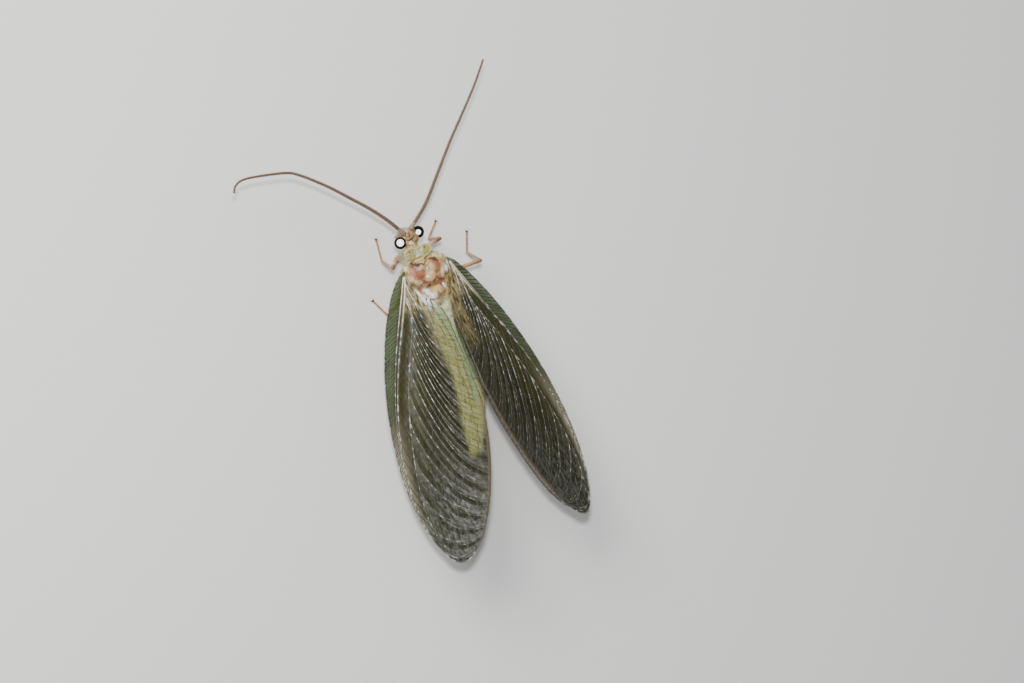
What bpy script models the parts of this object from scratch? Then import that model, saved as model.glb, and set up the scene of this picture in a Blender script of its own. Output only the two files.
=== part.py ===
"""A large broad-winged lacewing at rest, life size, as a still museum model.

The insect stands on its six feet on the plane z = 0 and faces -Y, with its left side at +X.
All sizes below are millimetres; vertices are turned into metres as each object is made.
"""
import bmesh
import bpy
from math import acos, atan2, cos, exp, pi, radians, sin
from mathutils import Matrix, Vector

MM = 0.001

# Driving sizes of the insect
GAP = 0.25                   # clear space between two nodes that meet
HINGE_HEIGHT = 4.5           # forewing hinges above the floor
HINGE_HALF_SPAN = 2.05       # forewing hinges from the midline
WING_LENGTH = 24.6           # forewing, hinge to tip
WING_YAW = radians(8.8)      # each wing points this far outward
WING_PITCH = radians(5.0)    # and this far up
ROOF_TILT = {1: radians(22.0), -1: radians(27.0)}   # left and right wing, costal edge down
WING_THICKNESS = 0.5
WING_CUPPING = 0.35          # how far the margins curl up, four millimetres off the axis
CUPPING_REACH = 4.0
RIDGE_HALF_GAP = 0.27        # middle of each wing's inner margin from the midline
HINDWING_DROP = 0.98         # hindwing below the forewing, square to it
LEADING_ROW = 0.2            # where the thick leading vein runs in the wing's grid
LEADING_RELIEF = 0.14        # the thick leading vein stands this high
FOREWING_RELIEF = 0.10       # crest and valley of the forewing's branches
HINDWING_RELIEF = 0.05       # and of the hindwing's
EVEN_BRANCHING = 0.25        # part of the branching that is spread evenly
VEIN_CROWDING = 6.5          # how strongly the other branches bunch at the wing base
BRANCH_BOW = 0.87            # part of its way that a branch runs along the wing
FULL_RELIEF_SPACING = 0.45   # branches this far apart stand out in full
FULL_RELIEF_BRANCH = 0.3     # and no branch before this one does
TIP_THINNING = 0.4           # part of the thickness lost at the tip
THINNING_START = 0.8         # counted in branches from the base

EYE_RADIUS = 0.52
EYE_HALF_SPAN = 0.95
EYE_CUT = 0.60               # inner face of each eye from the midline of the head
HEAD_PLACE = Vector((0.27, -2.49, 3.7))
HEAD_YAW = radians(12.1)

FEELER_RADIUS = 0.24
FEELER_TIP_RADIUS = 0.15
SCAPE_RADIUS = 0.29

THORAX_HALF_WIDTH = 1.62

SEAM_CLEANUP = 0.008         # edges shorter than this are closed up after a union or a cut
LIMB_SIDES = 8
JOINT_OVERRUN = 0.75         # of the limb's radius, past each joint
FOOT_RADIUS = 0.22

# Points of the body's own line, x, y and z
BODY_LINE = [(-0.32, 3.45, 3.42), (-0.78, 6.4, 3.2), (-1.04, 9.8, 2.95), (-0.80, 12.6, 2.55),
             (-0.35, 14.8, 2.1), (0.25, 16.75, 1.62)]

# Feeler routes from socket to tip
FEELER_ROUTES = {
    "left": [(0.88, -3.05, 4.15), (2.0, -4.5, 4.45), (3.3, -5.9, 4.7), (4.75, -7.25, 4.9),
             (6.1, -8.5, 5.05), (7.2, -9.4, 5.15), (8.35, -10.25, 5.25), (9.4, -10.8, 5.3),
             (11.7, -11.25, 5.4), (13.3, -11.4, 5.45), (14.1, -11.1, 5.45), (14.4, -10.6, 5.45)],
    "right": [(-0.06, -3.26, 4.15), (-1.75, -4.72, 4.5), (-3.6, -6.9, 4.85), (-5.5, -9.1, 5.1),
              (-7.1, -10.8, 5.3), (-9.0, -12.8, 5.4), (-10.6, -14.7, 5.45)],
}

# Each leg: hip, end of hip piece, knee, heel, tip of foot
LEGS = {
    "leg_fore_left": [(0.60, -1.05, 1.42), (0.98, -0.85, 1.12), (2.46, -0.5, 3.45),
                      (1.85, -1.2, 0.32), (1.7, -3.0, 0.16)],
    "leg_fore_right": [(-0.28, -1.05, 1.42), (-0.72, -0.95, 1.12), (-2.5, -1.56, 3.55),
                       (-2.9, -1.7, 0.32), (-4.0, -2.85, 0.16)],
    "leg_mid_left": [(0.65, 1.0, 1.15), (1.05, 1.4, 0.9), (3.0, 2.7, 2.75),
                     (2.9, 3.3, 0.32), (3.7, 1.8, 0.16)],
    "leg_mid_right": [(-0.65, 1.0, 1.15), (-1.1, 1.5, 0.95), (-5.2, 1.32, 4.0),
                      (-5.9, 0.5, 0.32), (-6.5, -1.1, 0.16)],
    "leg_hind_left": [(0.45, 2.7, 1.08), (0.8, 3.3, 0.88), (2.35, 6.3, 2.75),
                      (2.5, 10.9, 0.32), (2.8, 12.7, 0.16)],
    "leg_hind_right": [(-0.6, 2.7, 1.08), (-0.95, 3.3, 0.88), (-3.2, 6.1, 2.75),
                       (-3.2, 10.7, 0.32), (-3.5, 12.5, 0.16)],
}

COLOURS = {
    "head": (0.55, 0.42, 0.22), "eye": (0.012, 0.011, 0.010), "feeler": (0.24, 0.15, 0.09),
    "collar": (0.62, 0.62, 0.34), "thorax": (0.62, 0.40, 0.29), "abdomen": (0.50, 0.55, 0.24),
    "wing": (0.23, 0.21, 0.16), "leg": (0.50, 0.26, 0.08),
}
ROUGHNESS = {"eye": 0.08, "wing": 0.3}


def make_material(finish):
    """One plain material for each finish of the insect."""
    material = bpy.data.materials.get(finish) or bpy.data.materials.new(finish)
    material.use_nodes = True
    shader = material.node_tree.nodes["Principled BSDF"]
    shader.inputs["Base Color"].default_value = (*COLOURS[finish], 1.0)
    shader.inputs["Roughness"].default_value = ROUGHNESS.get(finish, 0.45)
    shader.inputs["Metallic"].default_value = 0.0
    return material


def add_object(name, bm, finish, collection):
    """Turn a millimetre bmesh into a metre object in the given collection."""
    for vert in bm.verts:
        vert.co *= MM
    bmesh.ops.recalc_face_normals(bm, faces=bm.faces)
    mesh = bpy.data.meshes.new(name)
    bm.to_mesh(mesh)
    bm.free()
    mesh.shade_smooth()
    mesh.set_sharp_from_angle(angle=radians(50))
    mesh.materials.append(make_material(finish))
    obj = bpy.data.objects.new(name, mesh)
    collection.objects.link(obj)
    return obj


def signed_power(value, exponent):
    return abs(value) ** exponent * (1 if value >= 0 else -1)


def drawn_sphere(section, rings, sides):
    """A UV sphere whose rings are drawn out by section(t, angle), t running 0 to 1."""
    bm = bmesh.new()
    bmesh.ops.create_uvsphere(bm, u_segments=sides, v_segments=rings, radius=1.0)
    for vert in bm.verts:
        along = acos(max(-1.0, min(1.0, vert.co.z))) / pi
        around = atan2(vert.co.y, vert.co.x)
        vert.co = section(along, around)
    return bm


def rounded_block(centre, half, squareness=0.7, rings=8, sides=14, turn=None):
    """A rounded block with its ring axis along Y; squareness 1 is an ellipsoid, 0.3 a box."""
    def section(t, angle):
        across = signed_power(sin(pi * t), squareness)
        place = Vector((half[0] * across * signed_power(cos(angle), squareness),
                        -half[1] * signed_power(cos(pi * t), squareness),
                        half[2] * across * signed_power(sin(angle), squareness)))
        if turn is not None:
            place = turn @ place
        return place + Vector(centre)
    return drawn_sphere(section, rings, sides)


def limb_piece(start, end, radii, rings=6, sides=LIMB_SIDES):
    """A round-ended spindle over a joint-to-joint line, its radius read along a list.

    It runs past each joint by part of its radius there, so neighbours sink into each other.
    """
    start, end = Vector(start), Vector(end)
    axis = (end - start).normalized()
    start -= axis * radii[0] * JOINT_OVERRUN
    end += axis * radii[-1] * JOINT_OVERRUN
    across = axis.cross(Vector((0, 0, 1)))
    across = across.normalized() if across.length > 0.05 else Vector((1, 0, 0))
    upward = across.cross(axis)

    def section(t, angle):
        step = t * (len(radii) - 1)
        low = min(int(step), len(radii) - 2)
        radius = radii[low] + (radii[low + 1] - radii[low]) * (step - low)
        radius *= sin(pi * t) ** 0.4 if 0 < t < 1 else 0
        spot = start.lerp(end, (1 - signed_power(cos(pi * t), 0.8)) / 2)
        return spot + across * radius * cos(angle) + upward * radius * sin(angle)
    return drawn_sphere(section, rings, sides)


def evaluated_mesh(obj):
    depsgraph = bpy.context.evaluated_depsgraph_get()
    depsgraph.update()
    return bpy.data.meshes.new_from_object(obj.evaluated_get(depsgraph))


def keep_largest_surface(mesh):
    """Drop every closed surface of the mesh but the one that holds the most."""
    bm = bmesh.new()
    bm.from_mesh(mesh)
    bmesh.ops.triangulate(bm, faces=bm.faces)
    bmesh.ops.dissolve_degenerate(bm, edges=bm.edges, dist=SEAM_CLEANUP * MM)
    bmesh.ops.triangulate(bm, faces=bm.faces)
    left = set(bm.faces)
    shells = []
    while left:
        stack = [left.pop()]
        shell = list(stack)
        while stack:
            for edge in stack.pop().edges:
                for face in edge.link_faces:
                    if face in left:
                        left.remove(face)
                        stack.append(face)
                        shell.append(face)
        shells.append(shell)

    def volume(shell):
        return abs(sum(f.verts[0].co.dot(f.verts[1].co.cross(f.verts[2].co)) for f in shell))
    shells.sort(key=volume)
    loose = [face for shell in shells[:-1] for face in shell]
    bmesh.ops.delete(bm, geom=loose, context="FACES")
    bm.to_mesh(mesh)
    bm.free()


def fuse(name, pieces, finish, collection):
    """One Boolean union of closed pieces, applied, with its largest closed surface kept."""
    bits = bpy.data.collections.new(name + "_pieces")
    bpy.context.scene.collection.children.link(bits)
    base = add_object(name, pieces[0], finish, collection)
    for number, piece in enumerate(pieces[1:]):
        add_object("%s_piece_%d" % (name, number), piece, finish, bits)
    union = base.modifiers.new("union", "BOOLEAN")
    union.operation = "UNION"
    union.operand_type = "COLLECTION"
    union.collection = bits
    union.solver = "EXACT"
    mesh = evaluated_mesh(base)
    base.modifiers.clear()
    keep_largest_surface(mesh)
    base.data = mesh
    for bit in list(bits.objects):
        bpy.data.objects.remove(bit)
    bpy.data.collections.remove(bits)
    return base


def cut(obj, cutter_bm, cutters):
    """Take a closed cutter away from an object and keep the largest surface left."""
    cutter = add_object(obj.name + "_cutter_%d" % len(cutters.objects), cutter_bm,
                        "thorax", cutters)
    cutter.hide_render = True
    cutter.display_type = "WIRE"
    difference = obj.modifiers.new("cut", "BOOLEAN")
    difference.operation = "DIFFERENCE"
    difference.object = cutter
    difference.solver = "EXACT"
    mesh = evaluated_mesh(obj)
    obj.modifiers.clear()
    keep_largest_surface(mesh)
    obj.data = mesh


def smooth_route(points, steps):
    """Places spread along a smooth curve through the given points."""
    points = [Vector(p) for p in points]
    padded = [points[0] * 2 - points[1], *points, points[-1] * 2 - points[-2]]
    places = []
    for step in range(steps + 1):
        spot = step / steps * (len(points) - 1)
        low = min(int(spot), len(points) - 2)
        t = spot - low
        a, b, c, d = padded[low:low + 4]
        places.append(0.5 * (2 * b + (c - a) * t + (2 * a - 5 * b + 4 * c - d) * t * t
                             + (3 * b - a - 3 * c + d) * t ** 3))
    return places


def head_point(forward, left, up):
    """A place given in the head's own directions, from the middle between the eyes."""
    return HEAD_PLACE + Vector((forward * sin(HEAD_YAW) + left * cos(HEAD_YAW),
                                left * sin(HEAD_YAW) - forward * cos(HEAD_YAW), up))


HEAD_TURN = Matrix.Rotation(HEAD_YAW, 3, "Z")


def eye_shape(side, growth):
    """An eye as a ball with a flat inner face; growth makes the same shape larger."""
    bm = bmesh.new()
    bmesh.ops.create_uvsphere(bm, u_segments=18, v_segments=12, radius=EYE_RADIUS + growth)
    flat = EYE_CUT - EYE_HALF_SPAN - growth
    cut_place = Vector((side * flat, 0, 0))
    found = bmesh.ops.bisect_plane(bm, geom=bm.verts[:] + bm.edges[:] + bm.faces[:],
                                   plane_co=cut_place, plane_no=(-side, 0, 0), clear_outer=True)
    rim = [item for item in found["geom_cut"] if isinstance(item, bmesh.types.BMEdge)]
    bmesh.ops.edgeloop_fill(bm, edges=rim)
    bmesh.ops.triangulate(bm, faces=bm.faces)
    for vert in bm.verts:
        vert.co = HEAD_TURN @ vert.co + head_point(0, side * EYE_HALF_SPAN, 0)
    return bm


def build_head(collection, cutters):
    def block(forward, left, up, half, squareness=0.8, tilt=0.0, rings=8, sides=14):
        turn = HEAD_TURN @ Matrix.Rotation(tilt, 3, "X")
        return rounded_block(head_point(forward, left, up), half, squareness, rings, sides, turn)
    pieces = [block(0.10, 0, -0.22, (0.72, 0.72, 0.76), 0.85, rings=12, sides=20)]
    pieces.append(block(0.58, 0, -0.55, (0.42, 0.36, 0.55), 0.75, radians(12)))     # face
    pieces.append(block(0.62, 0, -1.08, (0.34, 0.26, 0.34), 0.7, radians(18)))      # upper lip
    pieces.append(block(0.30, 0, -1.12, (0.30, 0.22, 0.36), 0.8))                   # lower lip
    pieces.append(block(-0.16, 0, 0.42, (0.46, 0.36, 0.20), 0.9))                   # crown
    for side in (1, -1):
        pieces.append(block(0.30, side * 0.47, -0.35, (0.27, 0.42, 0.44), 0.8))     # cheek
        root = head_point(0.52, side * 0.40, 0.15)
        socket = head_point(0.60, side * 0.46, 0.34)
        pieces.append(limb_piece(root, socket, (0.30, 0.32, 0.30)))
        jaw_root = head_point(0.48, side * 0.26, -1.0)
        pieces.append(limb_piece(jaw_root, head_point(0.64, side * 0.04, -1.58),
                                 (0.22, 0.2, 0.08)))
        palp = [head_point(0.30, side * 0.26, -1.05), head_point(0.42, side * 0.60, -1.45),
                head_point(0.66, side * 0.62, -1.85)]
        for start, end in zip(palp, palp[1:]):
            pieces.append(limb_piece(start, end, (0.14, 0.15, 0.12), rings=5, sides=7))
        pieces.append(block(0.16, side * 0.17, 0.50, (0.11, 0.11, 0.09), 1.0,
                            rings=5, sides=8))                                      # side ocellus
    head = fuse("head", pieces, "head", collection)
    for side in (1, -1):
        cut(head, eye_shape(side, GAP), cutters)
        eye = eye_shape(side, 0.0)
        add_object("eye_left" if side > 0 else "eye_right", eye, "eye", collection)
    groove = rounded_block(head_point(0.86, 0, -0.86), (0.5, 0.16, 0.05), 0.5, 6, 10, HEAD_TURN)
    cut(head, groove, cutters)


def build_feelers(collection):
    for side, route in FEELER_ROUTES.items():
        points = smooth_route(route, 26)
        direction = (points[1] - points[0]).normalized()
        points[0] += direction * (GAP + 0.22)
        curve = bpy.data.curves.new("feeler", "CURVE")
        curve.dimensions = "3D"
        curve.bevel_depth = MM
        curve.bevel_resolution = 2
        curve.use_fill_caps = True
        spline = curve.splines.new("POLY")
        scape_end = points[0] + direction * 0.42
        waist = points[0] + direction * 0.52
        line = [points[0], scape_end, waist] + [p for p in points[1:]
                                                if (p - points[0]).length > 0.8]
        spline.points.add(len(line) - 1)
        for number, (node, place) in enumerate(zip(spline.points, line)):
            node.co = (*(place * MM), 1.0)
            along = number / (len(line) - 1)
            radius = FEELER_RADIUS + (FEELER_TIP_RADIUS - FEELER_RADIUS) * along ** 2
            node.radius = SCAPE_RADIUS if number < 2 else radius
        tube = bpy.data.objects.new("feeler", curve)
        collection.objects.link(tube)
        mesh = evaluated_mesh(tube)
        bpy.data.objects.remove(tube)
        bm = bmesh.new()
        bm.from_mesh(mesh)
        bmesh.ops.remove_doubles(bm, verts=bm.verts, dist=1e-6)
        for vert in bm.verts:
            vert.co /= MM
        add_object("antenna_" + side, bm, "feeler", collection)


def build_thorax(collection):
    collar = [rounded_block((0.18, -1.12, 4.16), (1.34, 0.47, 0.30), 0.72, 10, 22),
              rounded_block((0.18, -1.12, 3.1), (0.74, 0.44, 1.15), 0.7, 8, 14)]
    for side in (1, -1):
        collar.append(rounded_block((0.18 + side * 0.62, -1.16, 4.34), (0.48, 0.36, 0.24),
                                    0.9, 8, 12))
    fuse("prothorax", collar, "collar", collection)

    width = THORAX_HALF_WIDTH
    middle = [rounded_block((0, 0.64, 3.2), (width - 0.12, 1.04, 1.5), 0.62, 12, 22),
              rounded_block((0.12, -0.12, 4.62), (0.58, 0.32, 0.27), 0.8, 7, 12),
              rounded_block((0, 1.18, 4.62), (0.56, 0.46, 0.30), 0.9, 8, 14)]
    for side in (1, -1):
        middle.append(rounded_block((side * 0.74, 0.42, 4.42), (0.68, 0.72, 0.50), 0.85, 10, 16))
        middle.append(rounded_block((side * (width - 0.5), 0.74, 4.42), (0.43, 0.82, 0.30),
                                    0.4, 7, 12))
    fuse("mesothorax", middle, "thorax", collection)

    rear = [rounded_block((-0.08, 2.55, 3.0), (1.32, 0.64, 1.38), 0.62, 10, 20),
            rounded_block((-0.1, 2.72, 4.22), (0.5, 0.42, 0.26), 0.9, 8, 12)]
    for side in (1, -1):
        rear.append(rounded_block((-0.08 + side * 0.66, 2.42, 4.02), (0.55, 0.46, 0.42),
                                  0.85, 8, 14))
        rear.append(rounded_block((side * 0.98, 2.6, 3.78), (0.37, 0.52, 0.26), 0.4, 7, 12))
    fuse("metathorax", rear, "thorax", collection)


def build_abdomen(collection):
    segments = 9
    rings = segments * 3
    line = smooth_route(BODY_LINE, rings)

    def section(t, angle):
        number = round(t * rings)
        place = line[number]
        ahead = line[min(number + 1, rings)] - line[max(number - 1, 0)]
        side_way = ahead.cross(Vector((0, 0, 1))).normalized()
        up_way = side_way.cross(ahead).normalized()
        full = 0.92 + 0.36 * sin(pi * min(1.0, t / 0.9) ** 0.8)
        full *= sin(pi * t) ** 0.28 if 0 < t < 1 else 0
        full *= 0.93 if number % 3 == 0 else 1.0
        return (place + side_way * full * signed_power(cos(angle), 0.9)
                + up_way * full * 0.84 * signed_power(sin(angle), 0.9))
    body = drawn_sphere(section, rings, 18)
    pieces = [body]
    end = line[-1]
    back = (line[-1] - line[-3]).normalized()
    side_way = back.cross(Vector((0, 0, 1))).normalized()
    for side in (1, -1):
        lobe = end - back * 0.75 + side_way * side * 0.3 + Vector((0, 0, 0.12))
        pieces.append(limb_piece(lobe, lobe + back * 0.95, (0.34, 0.38, 0.26), rings=6, sides=10))
    fuse("abdomen", pieces, "abdomen", collection)


def wing_place(side, along, across, level):
    """A place on a wing, all in millimetres, from the forewing's hinge.

    along runs to the tip, across is positive towards the inner margin, level is square to it.
    """
    roof = ROOF_TILT[side]
    run = Vector((side * sin(WING_YAW) * cos(WING_PITCH), cos(WING_YAW) * cos(WING_PITCH),
                  sin(WING_PITCH)))
    inward = Vector((-side * cos(WING_YAW), sin(WING_YAW), 0))
    upward = run.cross(inward) * side
    slope = inward * cos(roof) + upward * sin(roof)
    square = upward * cos(roof) - inward * sin(roof)
    cup = WING_CUPPING * (across / CUPPING_REACH) ** 2
    hinge = Vector((side * HINGE_HALF_SPAN, 0, HINGE_HEIGHT))
    return hinge + run * along + slope * across + square * (level + cup)


def costal_reach(s):
    """Outer margin from the wing's axis, both in wing lengths."""
    return 0.364 * s ** 0.69 * (1 - s) ** 0.53


def inner_reach(s):
    """Inner margin from the wing's axis, both in wing lengths."""
    return 0.405 * max(s - 0.052, 0.0) ** 0.57 * (1 - s) ** 0.63


def leading_vein(s):
    """The forewing's thick leading vein from the wing's axis, both in wing lengths."""
    u = (max(s - 0.0124, 0.0) / 0.944) ** (1 / 1.7)
    closeness = (0.93 + 0.07 * u ** 8) * (1 - exp(-s / 0.29) * (1 - u ** 4))
    return -costal_reach(s) * closeness


def branch_reach(u):
    """Branches lie closer together towards the tip."""
    return 1 - (1 - u) ** 1.5


def branch_start(u):
    """Where branch u leaves the leading vein, as a part of the wing's length."""
    return EVEN_BRANCHING * u + (1 - EVEN_BRANCHING) * branch_reach(u) ** VEIN_CROWDING


def margin_start(u):
    """Where the cross-veins of branch u end on the outer margin, a little further out."""
    even = EVEN_BRANCHING + 0.05
    return even * u + (1 - even) * branch_reach(u) ** (VEIN_CROWDING - 0.6)


def branch_place(leading, inner, reach, t):
    """A place on a branch, which runs along the wing first and then to the inner margin."""
    bend = Vector((leading.x + (inner.x - leading.x) * BRANCH_BOW + 0.1 * reach ** 10,
                   leading.y + (inner.y - leading.y) * (0.09 + 0.34 * reach ** 1.67), 0))
    return leading * (1 - t) ** 2 + bend * 2 * t * (1 - t) + inner * t * t


def forewing_line(u, v):
    """Forewing grid: u picks a branch, v runs from the outer margin over the leading vein."""
    reach = branch_reach(u)
    s_leading = 0.0124 + 0.944 * branch_start(u)
    leading = Vector((s_leading, leading_vein(s_leading), 0))
    if v <= LEADING_ROW:
        s_margin = 0.004 + 0.926 * margin_start(u)
        margin = Vector((s_margin, -costal_reach(s_margin), 0))
        place = margin.lerp(leading, v / LEADING_ROW)
    else:
        s_inner = 0.064 + 0.886 * reach
        inner = Vector((s_inner, inner_reach(s_inner), 0))
        place = branch_place(leading, inner, reach, (v - LEADING_ROW) / (1 - LEADING_ROW))
    root = Vector((0.062 * v, 0.002 + 0.0104 * v, 0))
    return root.lerp(place, min(1.0, u / 0.06))


def hindwing_line(u, v):
    """Hindwing grid, in forewing lengths from the forewing's hinge, under the forewing."""
    start, length, axis = 0.086, 0.86, 0.012
    reach = branch_reach(u)

    def outer_width(t):
        return 0.30 * t ** 0.72 * (1 - t) ** 0.55
    t_leading = 0.01 + 0.94 * branch_start(u)
    leading = Vector((start + length * t_leading,
                      axis - outer_width(t_leading) * 0.9 * (1 - exp(-t_leading / 0.25)), 0))
    if v <= LEADING_ROW:
        t_margin = 0.93 * margin_start(u)
        margin = Vector((start + length * t_margin, axis - outer_width(t_margin), 0))
        place = margin.lerp(leading, v / LEADING_ROW)
    else:
        t_inner = 0.05 + 0.9 * reach
        inner_width = 0.27 * (t_inner - 0.04) ** 0.55 * (1 - t_inner) ** 0.62
        inner = Vector((start + length * t_inner, axis + inner_width, 0))
        place = branch_place(leading, inner, reach, (v - LEADING_ROW) / (1 - LEADING_ROW))
    root = Vector((0.088 + 0.036 * v, 0.010 + 0.006 * v, 0))
    return root.lerp(place, min(1.0, u / 0.06))


def build_wing(name, side, line, columns, rows, level, vein_relief, collection):
    """A wing as a triangulated grid with raised veins, thickened alike on both faces."""
    bm = bmesh.new()
    bmesh.ops.create_grid(bm, x_segments=columns, y_segments=rows, size=1.0)
    leading_row = round(LEADING_ROW * rows)
    thinning = TIP_THINNING / (1 - THINNING_START)
    weights = {}
    for vert in bm.verts:
        u = (vert.co.x + 1) / 2
        v = (vert.co.y + 1) / 2
        weights[vert.index] = 1.0 - thinning * max(0.0, u - THINNING_START)
        column, row = round(u * columns), round(v * rows)
        spot = line(u, v) * WING_LENGTH
        neighbour = line(abs(u - 1 / columns), v) * WING_LENGTH
        fade = min(1.0, (spot - neighbour).length / FULL_RELIEF_SPACING)
        fade *= min(1.0, u / FULL_RELIEF_BRANCH) * min(1.0, (1 - u) / 0.08 + 0.2)
        relief = vein_relief * fade * (1 if column % 2 else -1)
        if row <= leading_row:
            relief = LEADING_RELIEF * fade if row == leading_row else -vein_relief * fade
        vert.co = wing_place(side, spot.x, spot.y, level + relief)
        vert.co.x = side * max(RIDGE_HALF_GAP, side * vert.co.x)
    bmesh.ops.triangulate(bm, faces=bm.faces, quad_method="SHORT_EDGE")
    wing = add_object(name, bm, "wing", collection)
    group = wing.vertex_groups.new(name="thickness")
    for index, weight in weights.items():
        group.add([index], weight, "REPLACE")
    thicken = wing.modifiers.new("thickness", "SOLIDIFY")
    thicken.thickness = WING_THICKNESS * MM
    thicken.offset = 0.0
    thicken.vertex_group = group.name
    thicken.thickness_vertex_group = 0.0
    return wing


def build_leg(name, points, collection):
    hip, knee_root, knee, heel, tip = [Vector(p) for p in points]
    hind = "hind" in name
    pieces = [limb_piece(hip, knee_root, (0.30, 0.36, 0.26)),
              limb_piece(knee_root, knee, (0.24, 0.31, 0.32, 0.26, 0.24), rings=8),
              limb_piece(knee, heel, (0.25, 0.25, 0.24 if hind else 0.22, 0.25), rings=7)]
    beads = []
    for bead in range(5):
        beads += [FOOT_RADIUS, FOOT_RADIUS * 0.86]
    pieces.append(limb_piece(heel - Vector((0, 0, 0.12)), tip, beads, rings=11))
    toward = (tip - heel).normalized()
    across = toward.cross(Vector((0, 0, 1))).normalized()
    for side in (1, -1):
        root = tip - toward * 0.2 + across * side * 0.05
        claw = tip + toward * 0.28 + across * side * 0.2 + Vector((0, 0, -0.04))
        pieces.append(limb_piece(root, claw, (0.12, 0.1, 0.05), rings=4, sides=6))
    leg = fuse(name, pieces, "leg", collection)
    bm = bmesh.new()
    bm.from_mesh(leg.data)
    found = bmesh.ops.bisect_plane(bm, geom=bm.verts[:] + bm.edges[:] + bm.faces[:],
                                   plane_co=(0, 0, 0), plane_no=(0, 0, -1), clear_outer=True)
    rim = [item for item in found["geom_cut"] if isinstance(item, bmesh.types.BMEdge)]
    bmesh.ops.edgeloop_fill(bm, edges=rim)
    bmesh.ops.triangulate(bm, faces=bm.faces)
    bmesh.ops.recalc_face_normals(bm, faces=bm.faces)
    bm.to_mesh(leg.data)
    bm.free()
    keep_largest_surface(leg.data)


def stand_on_origin(collection):
    """Hang all pieces on one empty, moved so the box's bottom centre is the origin."""
    bpy.context.view_layer.update()
    corners = [obj.matrix_world @ vert.co for obj in collection.objects
               for vert in obj.data.vertices]
    low = [min(c[i] for c in corners) for i in range(2)]
    high = [max(c[i] for c in corners) for i in range(2)]
    stance = bpy.data.objects.new("stance", None)
    bpy.context.scene.collection.objects.link(stance)
    for obj in collection.objects:
        obj.parent = stance
    stance.location = (-(low[0] + high[0]) / 2, -(low[1] + high[1]) / 2, 0)


def main():
    for obj in list(bpy.data.objects):
        bpy.data.objects.remove(obj)
    insect = bpy.data.collections.new("lacewing")
    cutters = bpy.data.collections.new("cutters")
    for collection in (insect, cutters):
        bpy.context.scene.collection.children.link(collection)
    build_head(insect, cutters)
    build_feelers(insect)
    build_thorax(insect)
    build_abdomen(insect)
    for side, label in ((1, "left"), (-1, "right")):
        build_wing("forewing_" + label, side, forewing_line, 32, 10, 0.0,
                   FOREWING_RELIEF, insect)
        build_wing("hindwing_" + label, side, hindwing_line, 26, 10, -HINDWING_DROP,
                   HINDWING_RELIEF, insect)
    for name, points in LEGS.items():
        build_leg(name, points, insect)
    stand_on_origin(insect)


main()
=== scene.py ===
# Large broad-winged lacewing at rest: skin, net-veined wings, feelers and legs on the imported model
import random
from math import atan2, cos, exp, pi, radians, sin, sqrt

import bpy
import numpy as np
from mathutils import Matrix, Vector


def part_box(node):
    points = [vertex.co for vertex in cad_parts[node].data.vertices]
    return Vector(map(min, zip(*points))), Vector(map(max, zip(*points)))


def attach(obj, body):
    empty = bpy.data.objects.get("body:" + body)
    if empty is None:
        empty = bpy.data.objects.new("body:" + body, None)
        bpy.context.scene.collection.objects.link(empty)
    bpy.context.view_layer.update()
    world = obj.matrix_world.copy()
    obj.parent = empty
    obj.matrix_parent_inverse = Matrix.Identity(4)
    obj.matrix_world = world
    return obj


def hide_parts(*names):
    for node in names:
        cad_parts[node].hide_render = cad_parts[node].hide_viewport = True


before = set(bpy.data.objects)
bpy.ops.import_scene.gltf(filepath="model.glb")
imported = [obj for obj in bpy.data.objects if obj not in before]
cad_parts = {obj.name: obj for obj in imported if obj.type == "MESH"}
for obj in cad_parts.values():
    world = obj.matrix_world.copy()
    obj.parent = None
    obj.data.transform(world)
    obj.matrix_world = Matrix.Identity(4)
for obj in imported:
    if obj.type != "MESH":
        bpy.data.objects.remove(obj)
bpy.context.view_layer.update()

mm = 0.001
chance = random.Random(7)
dice = np.random.default_rng(7)

# Everything below is drawn in millimetres, from the floor under the middle between the
# forewing hinges
headHome = Vector((0.27, -2.49, 3.7))        # middle between the eyes in that drawing
headYaw = radians(12.1)


def findStand():
    # where the drawing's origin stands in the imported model, read from the two eyes
    lowLeft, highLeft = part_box("eye_left")
    lowRight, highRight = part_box("eye_right")
    head = Vector(((highLeft.x + lowRight.x) / 2,
                   (lowLeft.y + highLeft.y + lowRight.y + highRight.y) / 4,
                   (lowLeft.z + highLeft.z) / 2))
    return head - headHome * mm


stand = findStand()


# Finishes

class Link:
    # one socket of a finish, so that maths on it reads like plain maths
    def __init__(self, finish, socket):
        self.finish = finish
        self.socket = socket

    def maths(self, operation, first, second):
        return self.finish.node("ShaderNodeMath", {"operation": operation}, {0: first, 1: second})

    def __add__(self, other):
        return self.maths("ADD", self, other)

    def __radd__(self, other):
        return self.maths("ADD", other, self)

    def __sub__(self, other):
        return self.maths("SUBTRACT", self, other)

    def __rsub__(self, other):
        return self.maths("SUBTRACT", other, self)

    def __mul__(self, other):
        return self.maths("MULTIPLY", self, other)

    def __rmul__(self, other):
        return self.maths("MULTIPLY", other, self)


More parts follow.
